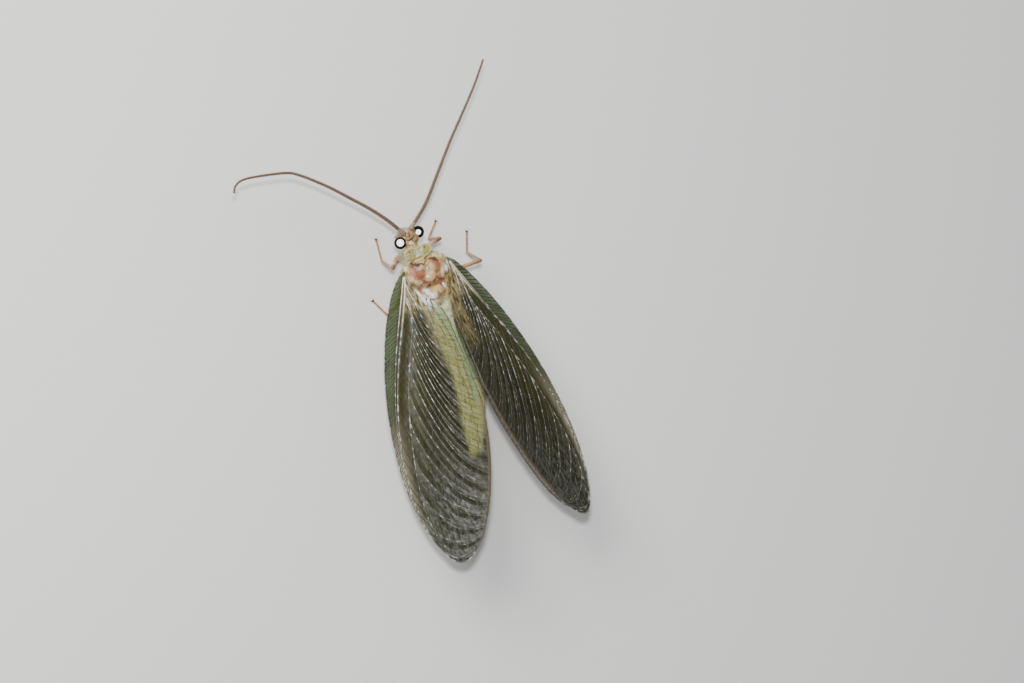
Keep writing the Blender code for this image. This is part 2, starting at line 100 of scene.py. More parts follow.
class Finish:
    # one material: its constants are set on the shader, and nodes feed what varies
    def __init__(self, name, **constants):
        self.material = bpy.data.materials.new(name)
        self.material.use_nodes = True
        self.tree = self.material.node_tree
        self.shader = self.tree.nodes["Principled BSDF"]
        for label, value in constants.items():
            self.set(label.replace("_", " "), value)

    def feed(self, socket, value):
        if isinstance(value, Link):
            self.tree.links.new(value.socket, socket)
        elif isinstance(value, tuple) and len(value) == 3 and socket.type == "RGBA":
            socket.default_value = (*value, 1.0)
        else:
            socket.default_value = value

    def set(self, label, value):
        self.feed(self.shader.inputs[label], value)

    def node(self, kind, settings, sockets, output=0):
        made = self.tree.nodes.new(kind)
        for name, value in settings.items():
            setattr(made, name, value)
        for place, value in sockets.items():
            self.feed(made.inputs[place], value)
        return Link(self, made.outputs[output])

    def place(self):
        # the surface's own place in millimetres
        spot = self.node("ShaderNodeTexCoord", {}, {}, "Object")
        return self.node("ShaderNodeVectorMath", {"operation": "SCALE"}, {0: spot, "Scale": 1 / mm})

    def axis(self, name):
        return self.node("ShaderNodeSeparateXYZ", {}, {0: self.place()}, name)

    def grain(self, scale, detail=4.0, rough=0.55, stretch=(1, 1, 1)):
        spot = self.node("ShaderNodeVectorMath", {"operation": "MULTIPLY"},
                         {0: self.place(), 1: stretch})
        return self.node("ShaderNodeTexNoise", {},
                         {"Vector": spot, "Scale": scale, "Detail": detail, "Roughness": rough})

    def cells(self, scale):
        sockets = {"Vector": self.place(), "Scale": scale}
        return self.node("ShaderNodeTexVoronoi", {}, sockets, "Distance")

    def mark(self, name):
        return self.node("ShaderNodeAttribute", {"attribute_name": name}, {}, "Fac")

    def fade(self, value, start, end):
        # 0 at start, 1 at end, smooth between
        return self.node("ShaderNodeMapRange", {"interpolation_type": "SMOOTHSTEP"},
                         {"Value": value, "From Min": start, "From Max": end})

    def mix(self, mask, under, over):
        # a Mix node's colours are its inputs 6 and 7 and its output 2
        return self.node("ShaderNodeMix", {"data_type": "RGBA"}, {0: mask, 6: under, 7: over}, 2)

    def layers(self, colour, *coats):
        # coats of a mask and a colour, laid one over another
        for mask, over in coats:
            colour = self.mix(mask, colour, over)
        return colour

    def bump(self, height, strength, depth):
        sockets = {"Height": height, "Strength": strength, "Distance": depth * mm}
        self.set("Normal", self.node("ShaderNodeBump", {}, sockets))


# Shapes

class Shape:
    # corners and faces of one piece, with its marks and its patches for the baked colours
    def __init__(self):
        self.corners = []
        self.faces = []
        self.patches = []
        self.marks = {}
        self.count = 0

    def add(self, corners, faces, patch=None, **marks):
        self.corners.append(np.asarray(corners, float))
        self.faces += [[self.count + corner for corner in face] for face in faces]
        size = len(corners)
        if patch is not None:
            self.patches.append(np.tile(patch, (size, 1)) + dice.random((size, 2)) * 0.003)
        for name, value in marks.items():
            self.marks.setdefault(name, []).append(np.broadcast_to(value, (size,)))
        self.count += size


def addObject(name, data):
    made = bpy.data.objects.new(name, data)
    bpy.context.scene.collection.objects.link(made)
    return made


def makePiece(name, shape, finish, slotName, *replaced):
    mesh = bpy.data.meshes.new(name)
    mesh.from_pydata((np.vstack(shape.corners) * mm + np.array(stand)).tolist(), [], shape.faces)
    for mark, values in shape.marks.items():
        layer = mesh.attributes.new(mark, "FLOAT", "POINT")
        layer.data.foreach_set("value", np.concatenate(values).astype(np.float32))
    if shape.patches:
        patches = np.vstack(shape.patches)
        corners = np.zeros(len(mesh.loops), int)
        mesh.loops.foreach_get("vertex_index", corners)
        mesh.uv_layers.new(name="OFBake").uv.foreach_set("vector", patches[corners].ravel())
    mesh.materials.append(finish)
    mesh.shade_smooth()
    mesh.update()
    piece = addObject(name, mesh)
    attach(piece, "root")
    if replaced:
        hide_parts(*replaced)
    print("made", name, len(mesh.polygons), "faces")


def unit(vectors):
    return vectors / np.maximum(np.linalg.norm(vectors, axis=-1, keepdims=True), 1e-9)


def tube(points, radii, sides):
    # closed tube of the given radii along a line
    points = np.asarray(points, float)
    radii = np.broadcast_to(radii, (len(points),))
    ahead = unit(np.gradient(points, axis=0))
    across = np.zeros_like(points)
    previous = np.cross(ahead[0], (0.13, 0.21, 0.97))
    for number, direction in enumerate(ahead):
        previous = previous - direction * previous.dot(direction)
        previous = previous / max(np.linalg.norm(previous), 1e-9)
        across[number] = previous
    upward = np.cross(ahead, across)
    turn = np.arange(sides) * 2 * pi / sides
    rings = (points[:, None] + radii[:, None, None]
             * (np.cos(turn)[None, :, None] * across[:, None]
                + np.sin(turn)[None, :, None] * upward[:, None]))
    faces = []
    for ring in range(len(points) - 1):
        base = ring * sides
        for side in range(sides):
            after = (side + 1) % sides
            faces.append((base + side, base + after, base + sides + after, base + sides + side))
    faces.append(tuple(reversed(range(sides))))
    last = (len(points) - 1) * sides
    faces.append(tuple(last + side for side in range(sides)))
    return rings.reshape(-1, 3), faces


def signedPower(value, exponent):
    return np.sign(value) * np.abs(value) ** exponent


def ball(section, rings, sides):
    # a closed surface whose rings are drawn by section(t, angle), t running 0 to 1
    corners = [section(0.0, 0.0)]
    for ring in range(1, rings):
        for side in range(sides):
            corners.append(section(ring / rings, side * 2 * pi / sides))
    corners.append(section(1.0, 0.0))
    faces = []
    for side in range(sides):
        after = (side + 1) % sides
        faces.append((0, 1 + after, 1 + side))
        for ring in range(rings - 2):
            low = 1 + ring * sides
            faces.append((low + side, low + after, low + sides + after, low + sides + side))
        low = 1 + (rings - 2) * sides
        faces.append((low + side, low + after, len(corners) - 1))
    return corners, faces


def lump(centre, half, squareness=0.85, turn=None, rings=16, sides=24):
    # rounded block; squareness 1 is an ellipsoid and smaller is boxier
    def section(t, angle):
        across = abs(sin(pi * t)) ** squareness
        place = Vector((half[0] * across * signedPower(cos(angle), squareness),
                        -half[1] * signedPower(cos(pi * t), squareness),
                        half[2] * across * signedPower(sin(angle), squareness)))
        if turn is not None:
            place = turn @ place
        return place + Vector(centre)
    return ball(section, rings, sides)


def limb(start, end, radii):
    # round-ended spindle over a joint-to-joint line, its radius read along a list
    start, end = Vector(start), Vector(end)
    axis = (end - start).normalized()
    start, end = start - axis * radii[0] * 0.75, end + axis * radii[-1] * 0.75
    across = axis.cross(Vector((0, 0, 1)))
    across = across.normalized() if across.length > 0.05 else Vector((1, 0, 0))
    upward = across.cross(axis)
    length = (end - start).length

    def section(t, angle):
        radius = np.interp(t, np.linspace(0, 1, len(radii)), radii)
        edge = min(t, 1 - t) * length / max(radius, 0.01)
        radius *= sqrt(max(0.0, 1 - max(0.0, 1 - edge) ** 2))
        return start.lerp(end, t) + across * radius * cos(angle) + upward * radius * sin(angle)
    return ball(section, max(10, int(length / 0.07)), 16)


def smoothRoute(points, steps):
    # places along a smooth curve through the points
    points = [Vector(p) for p in points]
    padded = [points[0] * 2 - points[1], *points, points[-1] * 2 - points[-2]]
    places = []
    for step in range(steps + 1):
        spot = step / steps * (len(points) - 1)
        low = min(int(spot), len(points) - 2)
        t = spot - low
        a, b, c, d = padded[low:low + 4]
        places.append(0.5 * (2 * b + (c - a) * t + (2 * a - 5 * b + 4 * c - d) * t * t
                             + (3 * b - a - 3 * c + d) * t ** 3))
    return places


def evenRoute(points, steps):
    # the same curve with places evenly apart
    fine = np.array(smoothRoute(points, steps * 4))
    run = np.concatenate([[0], np.cumsum(np.linalg.norm(np.diff(fine, axis=0), axis=1))])
    wanted = np.linspace(0, run[-1], steps + 1)
    return np.stack([np.interp(wanted, run, fine[:, axis]) for axis in range(3)], axis=1)


def fuseForms(forms, voxel, smoothing):
    # one closed skin round overlapping forms
    shape = Shape()
    for corners, faces in forms:
        shape.add([tuple(corner) for corner in corners], faces)
    mesh = bpy.data.meshes.new("forms")
    mesh.from_pydata(np.vstack(shape.corners).tolist(), [], shape.faces)
    cage = addObject("forms", mesh)
    join = cage.modifiers.new("join", "REMESH")
    join.mode = "VOXEL"
    join.voxel_size = voxel
    settle = cage.modifiers.new("settle", "SMOOTH")
    settle.factor = 0.5
    settle.iterations = smoothing
    view = bpy.context.evaluated_depsgraph_get()
    view.update()
    fused = bpy.data.meshes.new_from_object(cage.evaluated_get(view))
    bpy.data.objects.remove(cage)
    places, normals = np.zeros((2, len(fused.vertices) * 3))
    fused.vertices.foreach_get("co", places)
    fused.vertices.foreach_get("normal", normals)
    faces = [tuple(face.vertices) for face in fused.polygons]
    bpy.data.meshes.remove(fused)
    return places.reshape(-1, 3), normals.reshape(-1, 3), faces


# Camera, light and floor

cameraView = {"azimuth": 78.58, "elevation": 65.18, "roll": 82.08, "distance": 237.83,
              "aim": (-4.14, 8.42, 7.15), "lens": 100.0, "sensor": 36.0, "clip": (0.005, 20.0)}
studio = {"floorColour": (0.88, 0.87, 0.85), "floorReach": 1.5, "worldColour": (0.86, 0.88, 0.92),
          "world": 0.34, "aim": (-1.0, 4.0, 3.0), "distance": 230.0,
          "lights": {"key softbox": {"aside": -0.42, "above": 0.62, "radius": 70.0, "power": 0.5,
                                     "colour": (1.0, 0.985, 0.96)},
                     "flash": {"aside": 0.02, "above": 0.1, "radius": 8.0, "power": 0.34,
                               "colour": (1, 1, 1)}}}


def viewDirections():
    # the camera's right, its up, and back from what it sees to the camera
    turn, rise, roll = (radians(cameraView[key]) for key in ("azimuth", "elevation", "roll"))
    back = Vector((sin(turn) * cos(rise), -cos(turn) * cos(rise), sin(rise)))
    level = Vector((0, 0, 1)).cross(back).normalized()
    upright = back.cross(level)
    return (level * cos(roll) + upright * sin(roll), upright * cos(roll) - level * sin(roll), back)


def inRow(place):
    return Vector(place) * mm + stand


def makeCamera():
    right, up, back = viewDirections()
    data = bpy.data.cameras.new("camera")
    data.lens = cameraView["lens"]
    data.sensor_width = cameraView["sensor"]
    data.clip_start, data.clip_end = cameraView["clip"]
    camera = addObject("camera", data)
    place = inRow(Vector(cameraView["aim"]) + back * cameraView["distance"])
    turned = Matrix((right, up, back)).transposed().to_4x4()
    camera.matrix_world = Matrix.Translation(place) @ turned
    bpy.context.scene.camera = camera


def makeLight(name, lamp):
    right, up, back = viewDirections()
    direction = back + right * lamp["aside"] + up * lamp["above"]
    data = bpy.data.lights.new(name, "AREA")
    data.shape = "DISK"
    data.size = lamp["radius"] * 2 * mm
    data.energy = lamp["power"]
    data.color = lamp["colour"]
    light = addObject(name, data)
    light.location = inRow(Vector(studio["aim"]) + direction.normalized() * studio["distance"])
    light.rotation_mode = "QUATERNION"
    light.rotation_quaternion = direction.to_track_quat("Z", "Y")
    light.visible_camera = False


def makeStudio():
    for name, lamp in studio["lights"].items():
        makeLight(name, lamp)
    world = bpy.data.worlds.new("room")
    world.use_nodes = True
    sky = world.node_tree.nodes["Background"]
    sky.inputs["Color"].default_value = (*studio["worldColour"], 1.0)
    sky.inputs["Strength"].default_value = studio["world"]
    bpy.context.scene.world = world
    mesh = bpy.data.meshes.new("floor")
    reach = studio["floorReach"]
    corners = [(x * reach, y * reach, 0) for x, y in ((-1, -1), (1, -1), (1, 1), (-1, 1))]
    mesh.from_pydata(corners, [], [(0, 1, 2, 3)])
    mesh.materials.append(Finish("floor", Roughness=0.7, Base_Color=studio["floorColour"]).material)
    addObject("floor", mesh)


makeCamera()
makeStudio()
print("camera, light and floor")


# Wings

wings = {"hingeHeight": 4.5, "hingeHalfSpan": 2.05, "length": 24.6, "yaw": radians(8.8),
         "pitch": radians(5.0), "roof": {1: radians(22.0), -1: radians(27.0)}, "cup": 0.35,
         "cupReach": 4.0, "ridgeHalfGap": 0.27, "hindDrop": 0.98, "thickness": 0.03,
         "columns": 256, "rows": 46, "branches": {"fore": 32, "hind": 26}, "even": 0.25,
         "crowding": 6.5, "bow": 0.87, "gather": 0.06, "subcostaRow": 0.155, "sector": 0.038,
         "pleat": 0.032, "radiusRise": 0.1, "subcostaSink": 0.05, "fullReliefSpacing": 0.45,
         "costalSpacing": 0.34, "rungSpacing": {"fore": 1.15, "hind": 3.2}, "stems": (2, 5, 8)}
# Clear window over the abdomen: from how far beside its middle line it closes, and where it ends
clearWindow = {"width": (0.7, 1.3), "shift": 0.14, "level": 3.0, "front": (1.5, 3.5),
               "end": (15.9, 17.0), "taper": (13.6, 16.6), "narrowing": 0.45}
radiusRow = 0.2        # row of the thick leading vein; the outer margin is row 0, the inner one 1
# Where along the wing the long lines start and how far they run, in wing lengths
foreNet = {"radius": (0.0124, 0.944), "margin": (0.004, 0.926), "inner": (0.064, 0.886)}
hindNet = {"whole": (0.086, 0.86), "radius": (0.01, 0.94), "inner": (0.05, 0.9), "middle": 0.012}


def spanAt(span, t):
    return span[0] + span[1] * t


def costalReach(s):
    return 0.364 * s ** 0.69 * (1 - s) ** 0.53


def innerReach(s):
    return 0.405 * max(s - 0.052, 0.0) ** 0.57 * (1 - s) ** 0.63


def branchReach(u):
    # branches lie closer together towards the tip
    return 1 - (1 - u) ** 1.5


def branchStart(u):
    # where branch u leaves the radius, as a part of the wing's length
    return wings["even"] * u + (1 - wings["even"]) * branchReach(u) ** wings["crowding"]


def marginStart(u):
    # the same on the outer margin
    even = wings["even"] + 0.05
    return even * u + (1 - even) * branchReach(u) ** (wings["crowding"] - 0.6)


def bowed(radius, inner, reach, v):
    # a branch from the radius to the inner margin: first along the wing, then outward
    t = (v - radiusRow) / (1 - radiusRow)
    bend = (radius[0] + (inner[0] - radius[0]) * wings["bow"] + 0.1 * reach ** 10,
            radius[1] + (inner[1] - radius[1]) * (0.09 + 0.34 * reach ** 1.67))
    return [radius[axis] * (1 - t) ** 2 + bend[axis] * 2 * t * (1 - t) + inner[axis] * t * t
            for axis in range(2)]


def blend(first, second, t):
    return [first[axis] + (second[axis] - first[axis]) * t for axis in range(2)]


def foreRadius(s):
    # the forewing's thick leading vein, which keeps near the outer margin
    start, length = foreNet["radius"]
    u = max(0.0, (s - start) / length) ** (1 / 1.7)
    closeness = (0.93 + 0.07 * u ** 8) * (1 - exp(-s / 0.29) * (1 - u ** 4))
    return -costalReach(s) * closeness


def foreLine(u, v):
    # forewing net: u picks a branch, v runs from the outer margin over the radius inward
    sRadius = spanAt(foreNet["radius"], branchStart(u))
    radius = (sRadius, foreRadius(sRadius))
    if v <= radiusRow:
        sMargin = spanAt(foreNet["margin"], marginStart(u))
        place = blend((sMargin, -costalReach(sMargin)), radius, v / radiusRow)
    else:
        reach = branchReach(u)
        sInner = spanAt(foreNet["inner"], reach)
        place = bowed(radius, (sInner, innerReach(sInner)), reach, v)
    root = (0.062 * v, 0.002 + 0.0104 * v)
    return blend(root, place, min(1.0, u / wings["gather"]))


def hindOuter(t):
    return 0.3 * t ** 0.72 * (1 - t) ** 0.55


def hindRadius(s):
    start, length = hindNet["whole"]
    t = (s - start) / length
    return hindNet["middle"] - hindOuter(t) * 0.9 * (1 - exp(-t / 0.25))


def hindLine(u, v):
    # the same for the hindwing, under the forewing
    sRadius = spanAt(hindNet["whole"], spanAt(hindNet["radius"], branchStart(u)))
    radius = (sRadius, hindRadius(sRadius))
    if v <= radiusRow:
        t = 0.93 * marginStart(u)
        margin = (spanAt(hindNet["whole"], t), hindNet["middle"] - hindOuter(t))
        place = blend(margin, radius, v / radiusRow)
    else:
        reach = branchReach(u)
        t = spanAt(hindNet["inner"], reach)
        inner = (spanAt(hindNet["whole"], t),
                 hindNet["middle"] + 0.27 * (t - 0.04) ** 0.55 * (1 - t) ** 0.62)
        place = bowed(radius, inner, reach, v)
    root = (0.088 + 0.036 * v, 0.01 + 0.006 * v)
    return blend(root, place, min(1.0, u / wings["gather"]))


def wingPlace(side, along, across, level):
    # a place on a wing, from the forewing's hinge towards the tip, towards the inner margin and
    # square to both
    roof, yaw, pitch = wings["roof"][side], wings["yaw"], wings["pitch"]
    run = Vector((side * sin(yaw) * cos(pitch), cos(yaw) * cos(pitch), sin(pitch)))
    inward = Vector((-side * cos(yaw), sin(yaw), 0))
    upward = run.cross(inward) * side
    slope = inward * cos(roof) + upward * sin(roof)
    square = upward * cos(roof) - inward * sin(roof)
    cup = wings["cup"] * (across / wings["cupReach"]) ** 2
    hinge = Vector((side * wings["hingeHalfSpan"], 0, wings["hingeHeight"]))
    place = hinge + run * along + slope * across + square * (level + cup)
    place.x = side * max(wings["ridgeHalfGap"], side * place.x)
    return place


def smooth(value, start, end):
    t = min(1.0, max(0.0, (value - start) / (end - start)))
    return t * t * (3 - 2 * t)


class Wing:
    def __init__(self, label, side, kind):
        self.name = kind + "wing_" + label
        self.side = side
        self.kind = kind
        self.line = foreLine if kind == "fore" else hindLine
        self.radius = foreRadius if kind == "fore" else hindRadius
        self.base = 0.0 if kind == "fore" else -wings["hindDrop"]
        self.nearest = 0.02 if kind == "fore" else 0.1
        self.branches = wings["branches"][kind]
        self.rows = np.linspace(0, 1, 801)
        self.reaches = np.array([self.line(u, radiusRow)[0] for u in self.rows])

    def branch(self, number):
        return min(1.0, max(0.0, (number + 1) / self.branches))

    def relief(self, u, v):
        # the leading veins' ridge and furrow and the pleats between branches
        spot, near = self.line(u, v), self.line(abs(u - 1 / self.branches), v)
        apart = sqrt((spot[0] - near[0]) ** 2 + (spot[1] - near[1]) ** 2) * wings["length"]
        fade = min(1.0, apart / wings["fullReliefSpacing"]) * min(1.0, u / 0.3)
        fade *= min(1.0, (1 - u) / 0.08 + 0.2)
        rise = wings["radiusRise"] * exp(-((v - radiusRow) / 0.03) ** 2)
        rise -= wings["subcostaSink"] * exp(-((v - wings["subcostaRow"]) / 0.025) ** 2)
        pleat = -cos(pi * u * self.branches) * smooth(v, 0.26, 0.45) * (1 - smooth(v, 0.9, 1))
        return fade * (rise + wings["pleat"] * pleat)

    def at(self, u, v, lift=0.0):
        spot = self.line(u, v)
        length = wings["length"]
        return wingPlace(self.side, spot[0] * length, spot[1] * length,
                         self.base + self.relief(u, v) + lift)

    def run(self, ends, steps):
        # places along a line through (u, v) points
        rows = np.array(ends, float)
        if len(rows) == 2:
            path = [rows[0] + (rows[1] - rows[0]) * k / steps for k in range(steps + 1)]
        else:
            path = [(p.x, p.y) for p in smoothRoute([(*row, 0) for row in ends], steps)]
        return [self.at(min(1.0, max(0.0, u)), min(1.0, max(0.0, v))) for u, v in path]

    def atReach(self, s):
        # u where the radius has gone s wing lengths along the wing
        return float(np.interp(s, self.reaches, self.rows))

    def sectorGap(self, s):
        # how far the second long vein has come away from the radius
        return wings["sector"] * smooth(s, 0.03, 0.22) * (1 - 0.5 * smooth(s, 0.55, 0.95))

    def sectorRow(self, u):
        # v at which branch u leaves the second long vein
        low, high = radiusRow, 1.0
        for _ in range(18):
            v = (low + high) / 2
            out, across = self.line(u, v)
            if across - self.radius(max(self.nearest, min(0.94, out))) < self.sectorGap(out):
                low = v
            else:
                high = v
        return low


def overBelly(place):
    # 1 where the camera sees the abdomen through this place on a wing
    back = viewDirections()[2]
    spot = place - back * ((place.z - clearWindow["level"]) / back.z)
    knots = np.array(body["line"])
    middle = np.interp(spot.y, knots[:, 1], knots[:, 0])
    ends = smooth(spot.y, *clearWindow["front"]) * (1 - smooth(spot.y, *clearWindow["end"]))
    narrow = 1 - clearWindow["narrowing"] * smooth(spot.y, *clearWindow["taper"])
    aside = abs(spot.x - middle - clearWindow["shift"]) / narrow
    return ends * (1 - smooth(aside, *clearWindow["width"]))


def membrane(wing, finish):
    columns, rows = wings["columns"], wings["rows"]
    us = [i / columns for i in range(columns + 1)]
    vs = [j / rows for j in range(rows + 1)]
    half = wings["thickness"] / 2
    top, under = ([wing.at(u, v, lift) for u in us for v in vs] for lift in (half, -half))

    def corner(i, j, layer):
        return layer * len(top) + i * (rows + 1) + j
    squares = ((0, ((0, 0), (1, 0), (1, 1), (0, 1))), (1, ((0, 0), (0, 1), (1, 1), (1, 0))))
    faces = [[corner(i + over, j + down, layer) for over, down in square]
             for i in range(columns) for j in range(rows) for layer, square in squares]
    rim = ([(i, 0) for i in range(columns)] + [(columns, j) for j in range(rows)]
           + [(i, rows) for i in range(columns, 0, -1)] + [(0, j) for j in range(rows, 0, -1)])
    for (i, j), (k, m) in zip(rim, rim[1:] + rim[:1]):
        faces.append((corner(i, j, 0), corner(i, j, 1), corner(k, m, 1), corner(k, m, 0)))
    spots = [wing.line(u, v) for u in us for v in vs]

    def inward(spot):
        # millimetres in from the forewing's inner margin; the hindwing has no dark line there
        if wing.kind == "hind":
            return 9.0
        return (innerReach(min(0.999, spot[0])) - spot[1]) * wings["length"]
    marks = {"along": [s[0] for s in spots], "row": vs * (columns + 1),
             "window": [overBelly(place) for place in top], "inward": [inward(s) for s in spots]}
    shape = Shape()
    shape.add(top + under, faces, **{name: np.tile(values, 2) for name, values in marks.items()})
    makePiece(wing.name + "_membrane", shape, finish, "wings", wing.name)


def veins(wing, finish):
    # the long veins and their branches
    shape = Shape()

    def draw(ends, steps, thick, thin, sides=6, bold=1.0):
        places = wing.run(ends, steps)
        radii = thick + (thin - thick) * np.linspace(0, 1, len(places)) ** 0.7
        shape.add(*tube(places, radii, sides), bold=bold, stem=0.6 * (thick > 0.07))

    def drawReach(row, steps, thick, thin, last=0.955, sides=7):
        # a vein that runs the length of the wing at row(s)
        reaches = np.linspace(wing.nearest, last, steps + 1)
        places = [wing.at(wing.atReach(s), row(s)) for s in reaches]
        radii = thick + (thin - thick) * np.linspace(0, 1, len(places)) ** 0.6
        shape.add(*tube(places, radii, sides), bold=0.8, stem=1.0 * (thick > 0.06))
    subcosta = wings["subcostaRow"]
    drawReach(lambda s: 0.0, 130, 0.04, 0.036)
    drawReach(lambda s: subcosta + 0.03 * smooth(s, 0.6, 0.9), 120, 0.065, 0.032, 0.9)
    drawReach(lambda s: radiusRow, 130, 0.095, 0.036)
    drawReach(lambda s: wing.sectorRow(wing.atReach(s)), 120, 0.055, 0.028, 0.9)
    draw([(1.0, 0.0), (1.0, 1.0)], 50, 0.04, 0.035)
    draw([(0.06, 1.0), (0.5, 1.0), (1.0, 1.0)], 120, 0.04, 0.032, 6, 0.1)
    main = {}
    for number in range(1, wing.branches - 1):
        u = wing.branch(number)
        before, after = wing.branch(number - 1), wing.branch(number + 1)
        start = wing.sectorRow(u)
        main[number] = start
        if number > wings["stems"][-1]:
            ends = [(u - 0.012, start - 0.01), (u, start + 0.06)]
            thick = 0.034
        elif number in wings["stems"]:
            ends = [(u, radiusRow), (u, 0.3)]
            thick = 0.075
            main[number] = 0.25
        else:
            stem = wing.branch(max(stem for stem in (0, *wings["stems"]) if stem < number))
            fork = chance.uniform(0.26, 0.34) + 0.07 * (u - stem) * wing.branches
            ends = [(stem, fork), (u, fork + 0.14)]
            thick = 0.036
            main[number] = fork + 0.12
        if number % 2 == 0:
            fork = max(chance.uniform(0.54, 0.66), main[number] + 0.1)
            draw(ends + [(u, fork)], 26, thick, 0.03, 6, 1.0)
            for other in (before, after):
                twig = u + (other - u) * 0.24
                twigEnd = chance.uniform(0.86, 0.92)
                draw([(u, fork), (twig, fork + 0.09), (twig, twigEnd)], 22, 0.03, 0.025, 5, 0.5)
                for turn in (-1, 1):
                    tip = (twig + (after - u) * 0.12 * turn, 1.0)
                    draw([(twig, twigEnd), tip], 5, 0.026, 0.022, 5, 0.2)
        else:
            fork = chance.uniform(0.82, 0.9)
            draw(ends + [(u, 0.65), (u, fork)], 40, thick * 0.8, 0.026, 5, 0.15)
            for turn in (-1, 1):
                tip = (u + (after - u) * 0.22 * turn, 1.0)
                draw([(u, fork), tip], 7, 0.026, 0.022, 5, 0.1)
    makePiece(wing.name + "_veins", shape, finish, "wings", wing.name)
    return main


def crossVeins(wing, finish, main):
    # thin rungs of the net
    shape = Shape()

    def rung(ends, radius, steps=4):
        shape.add(*tube(wing.run(ends, steps), radius, 5))
    s = wing.nearest + 0.01
    while s < 0.93:
        u = wing.atReach(s)
        out = wing.atReach(s + 0.012)
        if chance.random() < 0.25 and s > 0.15:
            middle = (u + out) / 2
            rung([(out, 0.0), (middle, 0.08), (u, 0.15)], 0.034)
            rung([(wing.atReach(s + 0.022), 0.0), (middle, 0.08)], 0.028, 2)
        else:
            rung([(out, 0.0), (u, 0.15)], 0.036)
        s += wings["costalSpacing"] / wings["length"] * chance.uniform(0.85, 1.15)
    s = 0.1 if wing.kind == "fore" else 0.17
    while s < 0.93:
        u = wing.atReach(s)
        rung([(u, radiusRow), (u, wing.sectorRow(u))], 0.034, 4)
        s += chance.uniform(0.034, 0.056)
    gap = wings["rungSpacing"][wing.kind]
    for number, start in main.items():
        if number + 1 not in main:
            continue
        u, after = wing.branch(number), wing.branch(number + 1)
        low = max(start, main[number + 1]) + 0.03
        places = [wing.at(u, low + (1 - low) * k / 12) for k in range(13)]
        reach = sum((q - p).length for p, q in zip(places, places[1:]))
        count = max(2, int(reach / gap))
        for k in range(count):
            v = low + (0.92 - low) * (k + chance.uniform(0.1, 0.9)) / count
            slant = chance.uniform(-0.012, 0.012)
            rung([(u, v), (after, v + slant)], chance.uniform(0.022, 0.032), 3)
        for series in (0.5, 0.7):
            if u > 0.45 and low < series - 0.05:
                v = series + chance.uniform(-0.01, 0.01)
                rung([(u, v), (after, v + 0.006)], 0.03, 3)
    makePiece(wing.name + "_crossveins", shape, finish, "wings", wing.name)


def bristle(shape, root, direction, length, radius, patch, bend=0.25, **marks):
    # one fine curved hair of three sides
    root, direction = np.array(root), unit(np.array(direction, float))
    down = np.array((0, 0, -1.0)) * bend
    middle = root + direction * length * 0.55
    tip = root + unit(direction + down * 0.6) * length
    across = unit(np.cross(direction, (0.31, 0.17, 0.93)))
    other = np.cross(direction, across)
    corners = []
    for centre, size in ((root - direction * radius, radius), (middle, radius * 0.66)):
        for k in range(3):
            turn = k * 2 * pi / 3
            corners.append(centre + (across * cos(turn) + other * sin(turn)) * size)
    corners.append(tip)
    faces = [(0, 2, 1), (0, 1, 4, 3), (1, 2, 5, 4), (2, 0, 3, 5), (3, 4, 6), (4, 5, 6), (5, 3, 6)]
    shape.add(corners, faces, patch, **marks)


def fringe(wing, finish):
    # short hairs on the margins and along the long veins
    shape = Shape()
    hairs = 330

    def hair(place, direction, length, patch, radius=0.0105):
        bristle(shape, place, direction, length * chance.uniform(0.7, 1.3), radius, patch)

    def after(u):
        return min(1.0, u + 0.012)

    def lean(start, end):
        return (end - start).normalized()
    for k in range(hairs):
        t = (k + chance.random()) / hairs
        u = wing.atReach(0.03 + 0.92 * t)
        edge = wing.at(u, 0.0)
        away = lean(wing.at(u, 0.05), edge) + lean(edge, wing.at(after(u), 0.0)) * 0.8
        hair(edge, away, 0.14, (u * 0.98, 0.0))
        u = 0.12 + 0.88 * t
        edge = wing.at(u, 1.0)
        away = lean(wing.at(u, 0.95), edge) + lean(edge, wing.at(after(u), 1.0)) * 0.4
        hair(edge, away, 0.22, (u * 0.98, 0.98))
        if t < 0.3:
            edge, inside = wing.at(1.0, t / 0.3), wing.at(0.985, t / 0.3)
            hair(edge, edge - inside, 0.2, (0.98, t * 3.2))
    for number in range(4, wing.branches - 1):
        u = wing.branch(number)
        for k in range(16):
            v = 0.3 + 0.65 * (k + chance.random()) / 16
            place, ahead = wing.at(u, v), wing.at(u, min(1, v + 0.02))
            hair(place, lean(place, ahead) + Vector((0, 0, 0.8)), 0.15, (u * 0.98, v * 0.98), 0.009)
    for k in range(120):
        u = wing.atReach(0.04 + 0.9 * (k + chance.random()) / 120)
        place, ahead = wing.at(u, radiusRow), wing.at(after(u), radiusRow)
        hair(place, lean(place, ahead) + Vector((0, 0, 1.0)), 0.17, (u * 0.98, 0.2))
    makePiece(wing.name + "_hairs", shape, finish, "wings")


